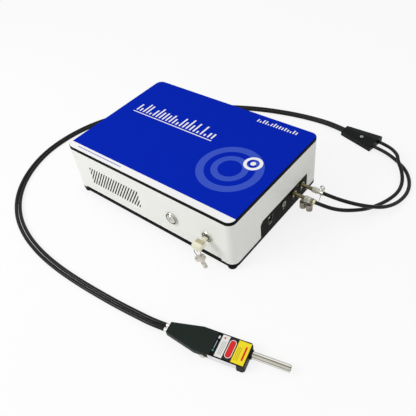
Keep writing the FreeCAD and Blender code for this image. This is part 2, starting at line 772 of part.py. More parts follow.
board("driver_board", driver_board, driver_points, [
    (25, 26, 14, 14, 1.6), (53, 26, 20, 12, 8), (85, 18, 10, 10, 9),
    (85, 36, 10, 10, 9), (107, 28, 6, 24, 6)])
board("control_board", control_board, control_points, [
    (45, 53, 20, 20, 1.8), (72, 48, 14, 10, 1.6), (20, 48, 12, 18, 2),
    (10, 86, 6, 26, 6), (48, 96, 26, 6, 7), (85, 96, 10, 10, 8)])

standoffs = new_body("standoffs")
add(standoffs, "XY", shell_z, board_z, *[circle(x, y, 2.75) for x, y in board_points])
add(standoffs, "XY", shell_z - 3, shell_z, *[circle(x, y, M3_RADIUS) for x, y in board_points])
cut(standoffs, "XY", board_z - 6, board_z, *[circle(x, y, 1.3) for x, y in board_points])
add(standoffs, "XY", shell_z, bench_z, *[circle(x, y, 4) for x, y in bench_points])
add(standoffs, "XY", shell_z - 3, shell_z, *[circle(x, y, M3_RADIUS) for x, y in bench_points])
add(standoffs, "XY", bench_z, bench_z + 4, *[circle(x, y, M3_RADIUS) for x, y in bench_points])
keep(standoffs)

# Laser module on its heat spreader

spreader = new_body("laser_spreader")
add(spreader, "XY", shell_z, shell_z + 5, rectangle(laser_x, laser_y - 27, laser_x + 76, laser_y + 27))
cut(spreader, "XY", shell_z, shell_z + 5, *[circle(x, y, M3_RADIUS + 0.2) for x, y in laser_points])
keep(spreader)
laser = new_body("laser_module")
laser_end = laser_x + 72
add(laser, "XY", shell_z + 5, shell_z + 31, rectangle(laser_x + 4, laser_y - 19, laser_end, laser_y + 19))
for index in range(7):
    fin_x = laser_x + 12 + 8 * index
    cut(laser, "XY", shell_z + 25, shell_z + 31, rectangle(fin_x, laser_y - 20, fin_x + 4, laser_y + 20))
add(laser, "YZ", laser_end, laser_end + 6, circle(s.port_a_y, s.port_z, 3))
keep(laser)

# Optical bench: body, cover, slit, mirrors, grating, detector

cavity_z = bench_z + s.bench_wall
inner_left, inner_far = s.bench_left + s.bench_wall, bench_back - s.bench_wall
inner_front, inner_near = s.bench_front + s.bench_wall, bench_right - s.bench_wall
bench = new_body("bench_base")
add(bench, "XY", bench_z, cover_z, rectangle(s.bench_left, s.bench_front, bench_right, bench_back))
cut(bench, "XY", cavity_z, cover_z, rectangle(inner_left, inner_front, inner_near, inner_far))
cut(bench, "XY", bench_z, bench_z + 4.3, *[circle(x, y, M3_RADIUS + SLACK) for x, y in bench_points])
cut(bench, "XY", cover_z - 7, cover_z, *[circle(x, y, 1.05) for x, y in lid_points])
cut(bench, "YZ", inner_near - 1, bench_right + 1, circle(s.port_b_y, s.port_z, 5.05))
cut(bench, "YZ", inner_near - 1, bench_right + 1, centred(size(2), s.port_z, 32, 10))
keep(bench)
cover = new_body("bench_cover")
add(cover, "XY", cover_z, cover_z + s.bench_cover, rectangle(s.bench_left, s.bench_front, bench_right, bench_back))
cut(cover, "XY", cover_z, cover_z + s.bench_cover, *[circle(x, y, 1.15) for x, y in lid_points])
keep(cover)

slit = new_body("slit_holder")
turn(slit, "Revolution", (0.4, -s.bench_wall - 3), (5, -s.bench_wall - 3), (5, 0), (8, 0), (8, 3), (4, 3), (4, 9),
     (fibre_bore, 9), (fibre_bore, 1), (0.4, 1))
keep(slit, bench_right, s.port_b_y, s.port_z, **SIDEWARD)


def optic(label, x, y, angle, width, thickness, hollow=None):
    """A block on the bench floor; its working face looks along local X, dished to the given radius."""
    item = new_body(label)
    add(item, "XY", cavity_z, cavity_z + 15, rectangle(-thickness, -width / 2, 0, width / 2))
    add(item, "XY", cavity_z, cavity_z + 2, rectangle(-thickness - 4, -width / 2, -thickness, width / 2))
    if hollow:
        sag = hollow - math.sqrt(hollow ** 2 - (width / 2 - 1) ** 2)
        cut(item, "XY", cavity_z, cavity_z + 15, circle(hollow - sag, 0, hollow))
    place(item, size(x), size(y), size(0), Vector(0, 0, 1), angle, group=True)
    return item


keep(combine("bench_mirrors", "Compound",
             optic("collimating_mirror", s.bench_left + 20, s.port_b_y + 4, -12, 24, 8, 160),
             optic("focusing_mirror", s.bench_left + 20, s.bench_front + 24, 4, 34, 8, 180)))
keep(combine("grating", "Compound", optic("grating_block", bench_right - 42, s.port_b_y - 22, 172, 22, 6)))

detector = new_body("detector_board")
add(detector, "YZ", bench_right, bench_right + 1.6, centred(size(2), s.port_z, 42, 20))
add(detector, "YZ", inner_near + 1, bench_right, centred(size(2), s.port_z, 31, 9))
keep(detector)
heat_sink = new_body("detector_heat_sink")
add(heat_sink, "YZ", bench_right + 1.6, bench_right + 4.6, centred(size(2), s.port_z, 40, 19))
add(heat_sink, "YZ", bench_right + 4.6, bench_right + 12,
    *[centred(size(2 - 18.8 + 6.2 * index), s.port_z, 1.6, 19) for index in range(7)])
keep(heat_sink)

leads = new_body("fibre_leads")
add(leads, "YZ", laser_end + 6, right - 9, circle(s.port_a_y, s.port_z, 1.5))
add(leads, "YZ", bench_right + 9, right - 9, circle(s.port_b_y, s.port_z, 1.5))
keep(leads)

# Probe, drawn along its own axis with local Y across and its underside at the table

PROBE = dict(x=s.probe_x, y=s.probe_y, z=size(0), angle=s.probe_angle)
deck_z = s.probe_height - s.probe_lid
plate_start, plate_end = s.trigger_x + 7, s.probe_cap_start
plate_z, plate_depth = 4.9, 1.2
slope_y = s.probe_half - s.probe_half_back


def probe_plan(margin, end):
    """The tapered plan of the probe, drawn in from its edge by a margin."""
    half, half_back = s.probe_half - margin, s.probe_half_back - margin
    start = s.probe_back + margin
    return polygon((start, -half_back), (s.probe_shoulder, -half), (end, -half), (end, half),
                   (s.probe_shoulder, half), (start, half_back))


def lower_edge(edge):
    box = edge.BoundBox
    return box.ZMax < 1e-4 and box.XLength > 5


chassis = new_body("probe_body")
add(chassis, "XY", 0, deck_z, probe_plan(0, s.probe_cap_start))
dress(chassis, "Chamfer", s.probe_chamfer, lower_edge)
cut(chassis, "XY", 2.4, deck_z, polygon(
    (s.probe_back + 6, -2.4), (s.probe_shoulder, -s.probe_half + 4.4), (s.probe_cap_start - 4, -s.probe_half + 4.4),
    (s.probe_cap_start - 4, s.probe_half - 4.4), (s.probe_shoulder, s.probe_half - 4.4), (s.probe_back + 6, 2.4)))
for side in (-1, 1):
    low_y, high_y = sorted((s.probe_half * side, (s.probe_half - plate_depth) * side), key=float)
    cut(chassis, "XY", plate_z, deck_z, rectangle(plate_start, low_y, plate_end, high_y))
cut(chassis, "XZ", s.probe_half - 5, s.probe_half + 1, circle(s.trigger_x, s.trigger_z, s.trigger_radius + s.running))
cut(chassis, "YZ", s.probe_cap_start - 5, s.probe_cap_start + 1, circle(s.tube_y, s.tube_z, s.tube_spigot + SLACK))
ferrule_spots = [s.ferrule_offset - s.cord_spacing / 2, s.ferrule_offset + s.cord_spacing / 2]
cut(chassis, "YZ", s.probe_back - 1, s.probe_back + 7, *[circle(y, s.tube_z, 2.1) for y in ferrule_spots])
keep(chassis, **PROBE)

lid = new_body("probe_lid")
add(lid, "XY", deck_z, s.probe_height, probe_plan(0, s.probe_cap_start))
for side in (-1, 1):
    low_y, high_y = sorted((s.probe_half * side, (s.probe_half - plate_depth) * side), key=float)
    cut(lid, "XY", deck_z, s.probe_height - 0.6, rectangle(plate_start, low_y, plate_end, high_y))
dress(lid, "Chamfer", 0.5, lambda edge: at_height(s.probe_height)(edge) and edge.BoundBox.XLength > 5)
keep(lid, **PROBE)

plates = new_body("probe_side_plates")
plate_top = s.probe_height - 0.6
add(plates, "XY", plate_z, plate_top,
    rectangle(plate_start, -s.probe_half, plate_end, -s.probe_half + plate_depth),
    rectangle(plate_start, s.probe_half - plate_depth, plate_end, s.probe_half))
keep(plates, **PROBE)

nose = new_body("probe_front_cap")
add(nose, "XY", 0, s.probe_height, polygon(
    (s.probe_cap_start, -s.probe_half), (s.probe_front - 2.5, -s.probe_half), (s.probe_front, -s.probe_half + 2.5),
    (s.probe_front, s.probe_half - 2.5), (s.probe_front - 2.5, s.probe_half), (s.probe_cap_start, s.probe_half)))
tube_seat = s.probe_front + 2
add(nose, "YZ", s.probe_front, tube_seat, circle(s.tube_y, s.tube_z, 6))
cut(nose, "YZ", s.probe_cap_start, tube_seat, circle(s.tube_y, s.tube_z, s.tube_spigot + SLACK))
keep(nose, **PROBE)

tube = new_body("probe_tube")
add(tube, "YZ", tube_seat, s.probe_tip, circle(s.tube_y, s.tube_z, s.tube_radius))
add(tube, "YZ", s.probe_cap_start - 4, tube_seat, circle(s.tube_y, s.tube_z, s.tube_spigot))
cut(tube, "YZ", s.probe_cap_start - 4, s.probe_tip, circle(s.tube_y, s.tube_z, s.tube_bore))
dress(tube, "Chamfer", 0.5, lambda edge: edge.BoundBox.ZLength > 2 * float(s.tube_radius) - 0.01
      and edge.BoundBox.XLength < 1e-4)
keep(tube, **PROBE)

trigger = new_body("trigger_button")
add(trigger, "XZ", s.probe_half - 4.4 + 1.3, s.probe_half + 1.5, circle(s.trigger_x, s.trigger_z, s.trigger_radius))
keep(trigger, **PROBE)

ferrules = new_body("probe_ferrules")
add(ferrules, "YZ", s.probe_back - 6, s.probe_back, *[circle(y, s.tube_z, 3) for y in ferrule_spots])
add(ferrules, "YZ", s.probe_back, s.probe_back + 5, *[circle(y, s.tube_z, 2.05) for y in ferrule_spots])
keep(ferrules, **PROBE)

cells = new_body("lens_cells")
lenses = new_body("lenses")
cell_spots = [(s.probe_shoulder + x, s.tube_y) for x in (6, 22, 42)] + [(s.probe_shoulder + 22, s.tube_y - 11)]
for x, y in cell_spots:
    add(cells, "XY", 2.4, 9.6, centred(x, y, 4, 9))
for x, y in cell_spots:
    cut(cells, "YZ", x - 2, x + 2, circle(y, s.tube_z, 2.6))
    add(lenses, "YZ", x - 0.8, x + 0.8, circle(y, s.tube_z, 2.6))
add(lenses, "YZ", s.probe_tip - 2.4, s.probe_tip - 1, circle(s.tube_y, s.tube_z, s.tube_bore))
keep(combine("probe_optics", "Compound", cells, lenses), **PROBE)

label = new_body("probe_label")
label_half = s.probe_half - 1.6
for start, end in ((-29.5, -19.7), (-19.4, -8.1), (-7.8, 8.4)):
    add(label, "XY", s.probe_height, s.probe_height + 0.15,
        rectangle(s.probe_cap_start + start, -label_half, s.probe_cap_start + end, label_half))
keep(label, **PROBE)

# Cable junction: two tapered shells and a screw; local X runs from the narrow end to the wide end

JUNCTION = dict(x=s.y_x, y=s.y_y, z=size(0), angle=s.y_angle)
junction_base = new_body("junction_base")
add(junction_base, "XY", 0, s.y_split, polygon((0, -s.y_narrow), (s.y_length, -s.y_wide), (s.y_length, s.y_wide),
                                               (0, s.y_narrow)))
dress(junction_base, "Chamfer", 0.8, lambda edge: edge.BoundBox.ZMax < 1e-4)
screw_x, screw_y = s.y_length * 0.59, size(-4)
cut(junction_base, "XY", 1, s.y_split, circle(screw_x, screw_y, M3_RADIUS + SLACK))
keep(junction_base, **JUNCTION)

ridge_narrow, ridge_wide = 11, 14


def junction_section(half, near_z, ridge_y, ridge_z, far_y):
    return polygon((-half, s.y_split), (half, s.y_split), (half, ridge_z - 3), (far_y, ridge_z),
                   (ridge_y, ridge_z), (-half, near_z))


junction_lid = new_body("junction_lid")
narrow = sketch(junction_lid, "YZ_Plane", 0, [junction_section(s.y_narrow, 7.6, 1.5, ridge_narrow, s.y_narrow - 2)])
wide = sketch(junction_lid, "YZ_Plane", s.y_length,
              [junction_section(s.y_wide, 8.2, 3, ridge_wide, s.y_wide - 3)])
loft = junction_lid.newObject("PartDesign::AdditiveLoft", "Loft")
loft.Profile = narrow
loft.Sections = [(wide, [""])]
loft.Ruled = True
cut(junction_lid, "XY", s.y_split, 16, circle(screw_x, screw_y, M3_RADIUS + SLACK))
cut(junction_lid, "XY", 9, 16, circle(screw_x, screw_y, 2.9))
keep(junction_lid, **JUNCTION)

junction_screw = new_body("junction_screw")
add(junction_screw, "XY", 1.5, 9, circle(screw_x, screw_y, M3_RADIUS))
add(junction_screw, "XY", 9, 12.2, circle(screw_x, screw_y, 2.75))
cut(junction_screw, "XY", 11, 12.2, hexagon(screw_x, screw_y, 2.5))
keep(junction_screw, **JUNCTION)

# Cables: straight runs joined by tangent arcs

ground = s.cord_diameter / 2


def framed(frame, x, y, z):
    """A point of a placed frame in the frame of the case centre."""
    turned = math.radians(float(frame["angle"]))
    return (float(frame["x"]) + float(x) * math.cos(turned) - float(y) * math.sin(turned),
            float(frame["y"]) + float(x) * math.sin(turned) + float(y) * math.cos(turned), float(z))


def beside(centre, offset):
    """Moves a route sideways, to the left of its travel, keeping the heights."""
    moved = []
    for index, point in enumerate(centre):
        before = centre[max(index - 1, 0)]
        after = centre[min(index + 1, len(centre) - 1)]
        if index == 0:
            normals = [(point, after)]
        elif index == len(centre) - 1:
            normals = [(before, point)]
        else:
            normals = [(before, point), (point, after)]
        total_x = total_y = 0
        for start, stop in normals:
            length = math.hypot(stop[0] - start[0], stop[1] - start[1])
            total_x += (start[1] - stop[1]) / length
            total_y += (stop[0] - start[0]) / length
        scale = 2 * offset / (total_x ** 2 + total_y ** 2) if len(normals) == 2 else offset
        moved.append((point[0] + total_x * scale, point[1] + total_y * scale, point[2]))
    return moved


def cord(label, points):
    """A round cable through the points, its corners eased by tangent arcs."""
    corners_in = [Vector(*point) for point in points]
    edges = []
    radii = []
    here = corners_in[0]
    for before, corner, after in zip(corners_in, corners_in[1:], corners_in[2:]):
        back_run, ahead_run = before - corner, after - corner
        half_turn = (math.pi - back_run.getAngle(ahead_run)) / 2
        reach = 0.45 * min(back_run.Length, ahead_run.Length)
        radii.append(reach / math.tan(half_turn))
        back_way, ahead_way = Vector(back_run).normalize(), Vector(ahead_run).normalize()
        start, stop = corner + back_way * reach, corner + ahead_way * reach
        middle = corner + (back_way + ahead_way).normalize() * (radii[-1] / math.cos(half_turn) - radii[-1])
        edges.append(Part.LineSegment(here, start).toShape())
        edges.append(Part.Arc(start, middle, stop).toShape())
        here = stop
    edges.append(Part.LineSegment(here, corners_in[-1]).toShape())
    route = Part.Wire(edges)
    radius = float(s.cord_diameter) / 2
    heading = corners_in[1] - corners_in[0]
    section = Part.Wire([Part.Circle(corners_in[0], heading, radius).toShape()])
    solid = route.makePipeShell([section], True, False)
    expected = math.pi * radius ** 2 * route.Length
    print("%s length %.0f, smallest bend radius %.1f, volume ratio %.4f"
          % (label, route.Length, min(radii), solid.Volume / expected))
    item = document.addObject("Part::Feature", label)
    item.Label = label
    item.Shape = solid
    keep(item)
    return route


plug_x = float(right + s.connector_reach)
plug_z = float(s.port_z)
floor = float(ground)
leg_a = [(plug_x, float(s.port_a_y), plug_z), (plug_x + 16, float(s.port_a_y), plug_z), (238, 67.5, 29.8),
         (257.5, 75, 26.5), (274, 89, 19.5), (286.5, 107.5, 11), (295, 133, 4.6), (297.5, 161, floor),
         (290.5, 187, floor), (273.5, 211.5, floor), (247.5, 228.5, floor),
         framed(JUNCTION, s.y_length + 22, -s.y_leg_offset, s.y_leg_z),
         framed(JUNCTION, s.y_length, -s.y_leg_offset, s.y_leg_z)]
leg_b = [(plug_x, float(s.port_b_y), plug_z), (plug_x + 15, float(s.port_b_y), plug_z), (233, 46, 28.8),
         (244.5, 57, 23.5), (254, 71, 17.5), (263, 88, 10.5), (271.5, 109, 5), (280, 132, floor),
         (285, 156, floor), (281, 181, floor), (271, 199, 8.5), (257, 214.5, 13.5), (250, 229.5, 13),
         framed(JUNCTION, s.y_length + 21, s.y_leg_offset, s.y_leg_z),
         framed(JUNCTION, s.y_length, s.y_leg_offset, s.y_leg_z)]
cord("leg_cord_a", leg_a)
cord("leg_cord_b", leg_b)

twin = [framed(JUNCTION, 0, 0, s.y_twin_z), framed(JUNCTION, -20, 0, s.y_twin_z), (95, 264.2, floor),
        (55, 261.1, floor), (14, 253.5, floor), (-32, 240.5, floor), (-77, 222, floor), (-122, 199, floor),
        (-166, 171, floor), (-208, 138.5, floor), (-247, 101, floor), (-280, 59, floor), (-299.5, 12, floor),
        (-307.5, -41, floor), (-303, -92, floor), (-282.5, -144, floor), (-249.5, -188, floor),
        (-208, -219.5, floor), (-161, -239.5, floor), (-110.5, -250.5, floor), (-60, -254.5, floor),
        (-9.5, -253.8, floor), (39, -250.6, floor), (74, -247.4, floor), (101, -244.6, 4.4),
        framed(PROBE, s.probe_back - 26.4, s.ferrule_offset, s.tube_z),
        framed(PROBE, s.probe_back - 6, s.ferrule_offset, s.tube_z)]
cord("twin_cord_a", beside(twin, -float(s.cord_spacing) / 2))
cord("twin_cord_b", beside(twin, float(s.cord_spacing) / 2))

# Tether wire between the two clamp bands

wire_points = [(float(band_x) + 1, float(s.port_a_y) - 3.9, 31), (float(band_x) + 1, float(s.port_a_y) - 7, 26),
               (float(band_x) + 1, float(tether_y), 22.5), (float(band_x) + 1, float(s.port_b_y) + 6.4, 26),
               (float(band_x) + 1, float(s.port_b_y) + 3.9, 31)]


def thin_wire(points, radius):
    corners_in = [Vector(*point) for point in points]
    curve = Part.BSplineCurve()
    curve.interpolate(corners_in)
    route = Part.Wire([curve.toShape()])
    section = Part.Wire([Part.Circle(corners_in[0], route.Edges[0].tangentAt(0), radius).toShape()])
    return route.makePipeShell([section], True, False)


wire = document.addObject("Part::Feature", "tether_wire")
wire.Shape = thin_wire(wire_points, 0.55)
tether = combine("cap_tether", "MultiFuse", bands, eye, wire)
keep(tether)

# Bring the underside and the middle of the box of all the hard pieces to the origin

document.recompute()
ON_THE_CORD = ("leg_cord", "twin_cord", "junction")
box = FreeCAD.BoundBox()
for name, item in parts.items():
    if not name.startswith(ON_THE_CORD):
        box.add(item.Shape.optimalBoundingBox(False))
sheet.set("shift_x", str(round(-box.Center.x, 3)))
sheet.set("shift_y", str(round(-box.Center.y, 3)))
document.recompute()

os.makedirs("parts", exist_ok=True)
for item in document.Objects:
    if "Invalid" in item.State or "Error" in item.State:
        raise RuntimeError("not built: " + item.Label)
for name, item in parts.items():
    if item.Shape.isNull() or not item.Shape.isValid():
        raise RuntimeError("bad shape: " + name)
    item.Shape.exportStep("parts/%s.step" % name)
print("parts:", len(parts), "shift:", sheet.get("shift_x"), sheet.get("shift_y"))
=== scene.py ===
import math

import bpy
import numpy as np
from mathutils import Matrix, Vector


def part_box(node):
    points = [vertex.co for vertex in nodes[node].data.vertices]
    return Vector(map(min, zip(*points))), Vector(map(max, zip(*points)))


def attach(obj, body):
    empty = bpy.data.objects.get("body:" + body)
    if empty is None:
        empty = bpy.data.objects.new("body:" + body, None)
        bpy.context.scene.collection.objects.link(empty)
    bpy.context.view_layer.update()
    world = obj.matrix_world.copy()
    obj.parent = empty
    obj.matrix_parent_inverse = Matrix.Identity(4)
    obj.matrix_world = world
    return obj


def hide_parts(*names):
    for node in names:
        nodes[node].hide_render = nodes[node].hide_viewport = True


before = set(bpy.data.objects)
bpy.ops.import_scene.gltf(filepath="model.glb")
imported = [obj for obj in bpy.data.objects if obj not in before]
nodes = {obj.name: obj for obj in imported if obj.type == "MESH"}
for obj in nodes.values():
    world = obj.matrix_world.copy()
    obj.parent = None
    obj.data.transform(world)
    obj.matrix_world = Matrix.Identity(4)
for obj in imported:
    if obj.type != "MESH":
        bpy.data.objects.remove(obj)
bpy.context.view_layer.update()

# Camera: the photograph's place, line of sight and roll, worked out from the edges of the case.
# Lengths here and below are millimetres from the middle of the case on the table, +Z up, front toward -Y.
low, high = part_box("base_plate")
centre = Vector(((low.x + high.x) / 2, (low.y + high.y) / 2, 0))


def at(x, y, z):
    """A point of the case frame, in metres of the row frame."""
    return centre + Vector((x, y, z)) / 1000


azimuth, elevation, roll = math.radians(44.2), math.radians(44.18), math.radians(-8.15)
backward = Vector((math.sin(azimuth) * math.cos(elevation), -math.cos(azimuth) * math.cos(elevation),
                   math.sin(elevation)))
sideward = Vector((0, 0, 1)).cross(backward).normalized()
upward = backward.cross(sideward)
camera_data = bpy.data.cameras.new("camera")
camera_data.lens = 42.293
camera_data.sensor_width = 36
camera_data.clip_start = 0.02
camera = bpy.data.objects.new("camera", camera_data)
camera.matrix_world = Matrix.Translation(at(444.79, -436.6, 548.33)) @ Matrix(
    (math.cos(roll) * sideward + math.sin(roll) * upward, math.cos(roll) * upward - math.sin(roll) * sideward,
     backward)).transposed().to_4x4()
bpy.context.scene.collection.objects.link(camera)
bpy.context.scene.camera = camera

# Fibre cables: two round black jackets from the panel's connectors to the junction, then side by side to the
# probe. The jacket is extruded soft plastic with a satin skin; each cable is one spline on its drawn route.
CORD = 5.8
FLOOR = CORD / 2
TWIN_OFFSET = 3.15
HOLE_SIDE, HOLE_HEIGHT = 8.2, 6.5
JUNCTION = (141, 256, -9)
PROBE = (62.2, -259, 13.5)


def framed(place, x, y, z):
    """A point of the junction's or the probe's own frame in the case frame."""
    turned = math.radians(place[2])
    return (place[0] + x * math.cos(turned) - y * math.sin(turned),
            place[1] + x * math.sin(turned) + y * math.cos(turned), z)


def beside(route, offset):
    """Moves a route sideways, to the left of its travel, keeping the heights."""
    moved = []
    for index, point in enumerate(route):
        ends = [route[max(index - 1, 0)], point, route[min(index + 1, len(route) - 1)]]
        total = Vector((0, 0))
        count = 0
        for start, stop in zip(ends, ends[1:]):
            run = Vector((stop[0] - start[0], stop[1] - start[1]))
            if run.length:
                total += Vector((-run.y, run.x)).normalized()
                count += 1
        shift = total * (count * offset / total.length_squared)
        moved.append((point[0] + shift.x, point[1] + shift.y, point[2]))
    return moved


def cord(name, route):
    """A round cable along the route's spline. Its radius is set on the control points, because the box of a
    curve reaches that far round each of them."""
    curve = bpy.data.curves.new(name, "CURVE")
    curve.dimensions = "3D"
    spline = curve.splines.new("NURBS")
    spline.points.add(len(route) - 1)
    for control, point in zip(spline.points, route):
        control.co = (*at(*point), 1)
        control.radius = CORD / 2000
    spline.order_u = 3
    spline.use_endpoint_u = True
    spline.resolution_u = 12
    curve.bevel_depth = 1.0
    curve.bevel_resolution = 8
    curve.use_fill_caps = True
    piece = bpy.data.objects.new(name, curve)
    bpy.context.scene.collection.objects.link(piece)
    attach(piece, "case")
    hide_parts(name)
    return piece


leg_a = [(203.6, 63.7, 32), (219.6, 63.7, 32), (238, 67.5, 29.8), (257.5, 75, 26.5), (274, 89, 19.5),
         (286.5, 107.5, 11), (295, 133, 4.6), (297.5, 161, FLOOR), (290.5, 187, FLOOR), (273.5, 211.5, FLOOR),
         (247.5, 228.5, FLOOR), framed(JUNCTION, 87, -HOLE_SIDE, HOLE_HEIGHT),
         framed(JUNCTION, 65, -HOLE_SIDE, HOLE_HEIGHT)]
leg_b = [(203.6, 40.3, 32), (218.6, 40.3, 32), (233, 46, 28.8), (244.5, 57, 23.5), (254, 71, 17.5),
         (263, 88, 10.5), (271.5, 109, 5), (280, 132, FLOOR), (285, 156, FLOOR), (281, 181, FLOOR),
         (271, 199, 8.5), (257, 214.5, 13.5), (250, 229.5, 13), framed(JUNCTION, 86, HOLE_SIDE, HOLE_HEIGHT),
         framed(JUNCTION, 65, HOLE_SIDE, HOLE_HEIGHT)]
on_table = [(95, 264.2), (55, 261.1), (14, 253.5), (-32, 240.5), (-77, 222), (-122, 199), (-166, 171),
            (-208, 138.5), (-247, 101), (-280, 59), (-299.5, 12), (-307.5, -41), (-303, -92), (-282.5, -144),
            (-249.5, -188), (-208, -219.5), (-161, -239.5), (-110.5, -250.5), (-60, -254.5), (-9.5, -253.8),
            (39, -250.6), (74, -247.4)]
twin = [framed(JUNCTION, 0, 0, 5.5), framed(JUNCTION, -20, 0, 5.5), *[(x, y, FLOOR) for x, y in on_table],
        (101, -244.6, 4.4), framed(PROBE, 66, 1.2, 6.4), framed(PROBE, 86.4, 1.2, 6.4)]
cables = [cord("leg_cord_a", leg_a),
          cord("leg_cord_b", leg_b),
          cord("twin_cord_a", beside(twin, -TWIN_OFFSET)),
          cord("twin_cord_b", beside(twin, TWIN_OFFSET))]


class Recipe:
    """Adds nodes to one tree and joins them; a call gives back the output that it is asked for."""

    def __init__(self, tree):
        self.nodes = tree.nodes
        self.links = tree.links

    def put(self, socket, value):
        if isinstance(value, bpy.types.NodeSocket):
            self.links.new(value, socket)
        else:
            socket.default_value = value

    def add(self, kind, values=None, out=0, **settings):
        item = self.nodes.new("ShaderNode" + kind)
        for field, value in settings.items():
            setattr(item, field, value)
        for socket, value in (values or {}).items():
            self.put(item.inputs[socket], value)
        return item.outputs[out]

    def maths(self, operation, *values):
        return self.add("Math", dict(enumerate(values)), operation=operation)

    def vector(self, operation, *values):
        return self.add("VectorMath", dict(enumerate(values)), operation=operation)

    def blend(self, share, first, second):
        """A colour between two colours."""
        return self.add("Mix", {0: share, 6: first, 7: second}, out=2, data_type="RGBA")

    def noise(self, place, scale, detail):
        return self.add("TexNoise", {"Vector": place, "Scale": scale, "Detail": detail})

    def ramp(self, value, low_end, high_end, to_low=0.0, to_high=1.0):
        return self.add("MapRange", {0: value, 1: low_end, 2: high_end, 3: to_low, 4: to_high})

    def effect(self, group, **values):
        item = self.nodes.new("ShaderNodeGroup")
        item.node_tree = group
        for label, value in values.items():
            self.put(item.inputs[label.title()], value)
        return item.outputs[0]


def new_effect(name, inputs, output, kind):
    """A node group with named inputs: its tree, a recipe for it, its inputs, and the socket of its result."""
    tree = bpy.data.node_groups.new(name, "ShaderNodeTree")
    for label, socket_kind in inputs.items():
        tree.interface.new_socket(label, in_out="INPUT", socket_type="NodeSocket" + socket_kind)
    tree.interface.new_socket(output, in_out="OUTPUT", socket_type="NodeSocket" + kind)
    entry = tree.nodes.new("NodeGroupInput").outputs
    return tree, Recipe(tree), entry, tree.nodes.new("NodeGroupOutput").inputs[0]


# Fine grain over softened edges: a bump of small noise on the normal of rounded corners.
grain_effect, recipe, entry, result = new_effect(
    "surface_grain", {"Place": "Vector", "Scale": "Float", "Relief": "Float", "Edge": "Float"},
    "Normal", "Vector")
softened = recipe.add("Bevel", {"Radius": entry["Edge"]}, samples=4)
recipe.put(result, recipe.add("Bump", {"Height": recipe.noise(entry["Place"], entry["Scale"], 2.0),
                                       "Strength": entry["Relief"], "Distance": 0.0002, "Normal": softened}))

# Edge wear: 1 where the surface turns sharply, broken into patches by noise.
wear_effect, recipe, entry, result = new_effect(
    "edge_wear", {"Place": "Vector", "Edge": "Float", "Patches": "Float"}, "Mask", "Float")
softened = recipe.add("Bevel", {"Radius": entry["Edge"]}, samples=4)
close = recipe.add("VectorMath", {0: softened, 1: recipe.add("NewGeometry", out="Normal")}, out="Value",
                   operation="DOT_PRODUCT")
patches = recipe.ramp(recipe.noise(entry["Place"], entry["Patches"], 4.0), 0.4, 0.65)
recipe.put(result, recipe.maths("MULTIPLY", recipe.ramp(close, 0.995, 0.85), patches))

# Clouded tone: a slow drift between two values, as hand-sprayed paint and handled metal have.
cloud_effect, recipe, entry, result = new_effect(
    "clouded_tone", {"Place": "Vector", "Scale": "Float", "Low": "Float", "High": "Float"}, "Value", "Float")
cloud = recipe.noise(entry["Place"], entry["Scale"], 4.0)
recipe.put(result, recipe.ramp(cloud, 0.35, 0.65, entry["Low"], entry["High"]))


def linear(red, green, blue):
    """A screen colour, 0 to 255, as the linear colour that renders to it."""
    channels = [channel / 255 for channel in (red, green, blue)]
    return tuple(c / 12.92 if c <= 0.04045 else ((c + 0.055) / 1.055) ** 2.4 for c in channels) + (1.0,)


def skin(name, colour, rough, metal=0.0, specular=0.5, tone=0.06, cloud=22.0, grain=900.0, relief=0.1,
         edge=0.0004, worn=None, wear=0.6):
    """A surface: clouded colour, worn edges, drifting roughness and fine grain. The colour may be a function
    that draws a print with the recipe and gives back its socket."""
    material = bpy.data.materials.new(name)
    material.use_nodes = True
    recipe = Recipe(material.node_tree)
    shader = recipe.nodes["Principled BSDF"].inputs
    place = recipe.add("TexCoord", out="Object")
    body = colour(recipe, place) if callable(colour) else colour
    shade = recipe.effect(cloud_effect, place=place, scale=cloud, low=1.0 - tone, high=1.0)
    grey = recipe.add("CombineColor", {0: shade, 1: shade, 2: shade})
    tinted = recipe.add("Mix", {0: 1.0, 6: body, 7: grey}, out=2, data_type="RGBA", blend_type="MULTIPLY")
    if worn:
        mask = recipe.effect(wear_effect, place=place, edge=edge * 1.5, patches=160.0)
        tinted = recipe.blend(recipe.maths("MULTIPLY", mask, wear), tinted, worn)
    recipe.put(shader["Base Color"], tinted)
    drift = recipe.effect(cloud_effect, place=place, scale=cloud * 6, low=rough - 0.05, high=rough + 0.05)
    recipe.put(shader["Roughness"], drift)
    normal = recipe.effect(grain_effect, place=place, scale=grain, relief=relief, edge=edge)
    recipe.put(shader["Normal"], normal)
    shader["Metallic"].default_value = metal
    shader["Specular IOR Level"].default_value = specular
    return material


def paint(material, *names):
    """Gives the carried-over nodes their material."""
    for name in names:
        slots = nodes[name].data.materials
        slots.clear()
        slots.append(material)


jacket = skin("cable_jacket", linear(4, 6, 7), 0.28, specular=0.22, tone=0.15, cloud=30.0, relief=0.02)
for cable in cables:
    cable.data.materials.append(jacket)

# Underside: a black powder-coated base plate, a black angle strip set back in the notch of the front edge as
# painted shade in the recess there, and four moulded rubber feet on screws that run up into the corner posts.
black_coat_and_sill_shade = skin("black_powder_coat_and_sill_shade", linear(15, 18, 17), 0.5, specular=0.03, tone=0.2, grain=2200.0,
                  relief=0.2, worn=linear(92, 92, 88), wear=0.35)
paint(black_coat_and_sill_shade, "base_plate", "front_sill", "top_plate", "fan_bracket")
foot_rubber = skin("foot_rubber", linear(20, 24, 22), 0.75, specular=0.05, tone=0.2, grain=1800.0,
                   relief=0.25)
paint(foot_rubber, "feet")
bright_steel = skin("bright_steel", linear(186, 184, 176), 0.3, metal=1.0, tone=0.2, cloud=70.0, grain=600.0,
                    edge=0.0003)
paint(bright_steel, "underside_screws", "inner_screws", "corner_posts", "standoffs", "panel_nuts")
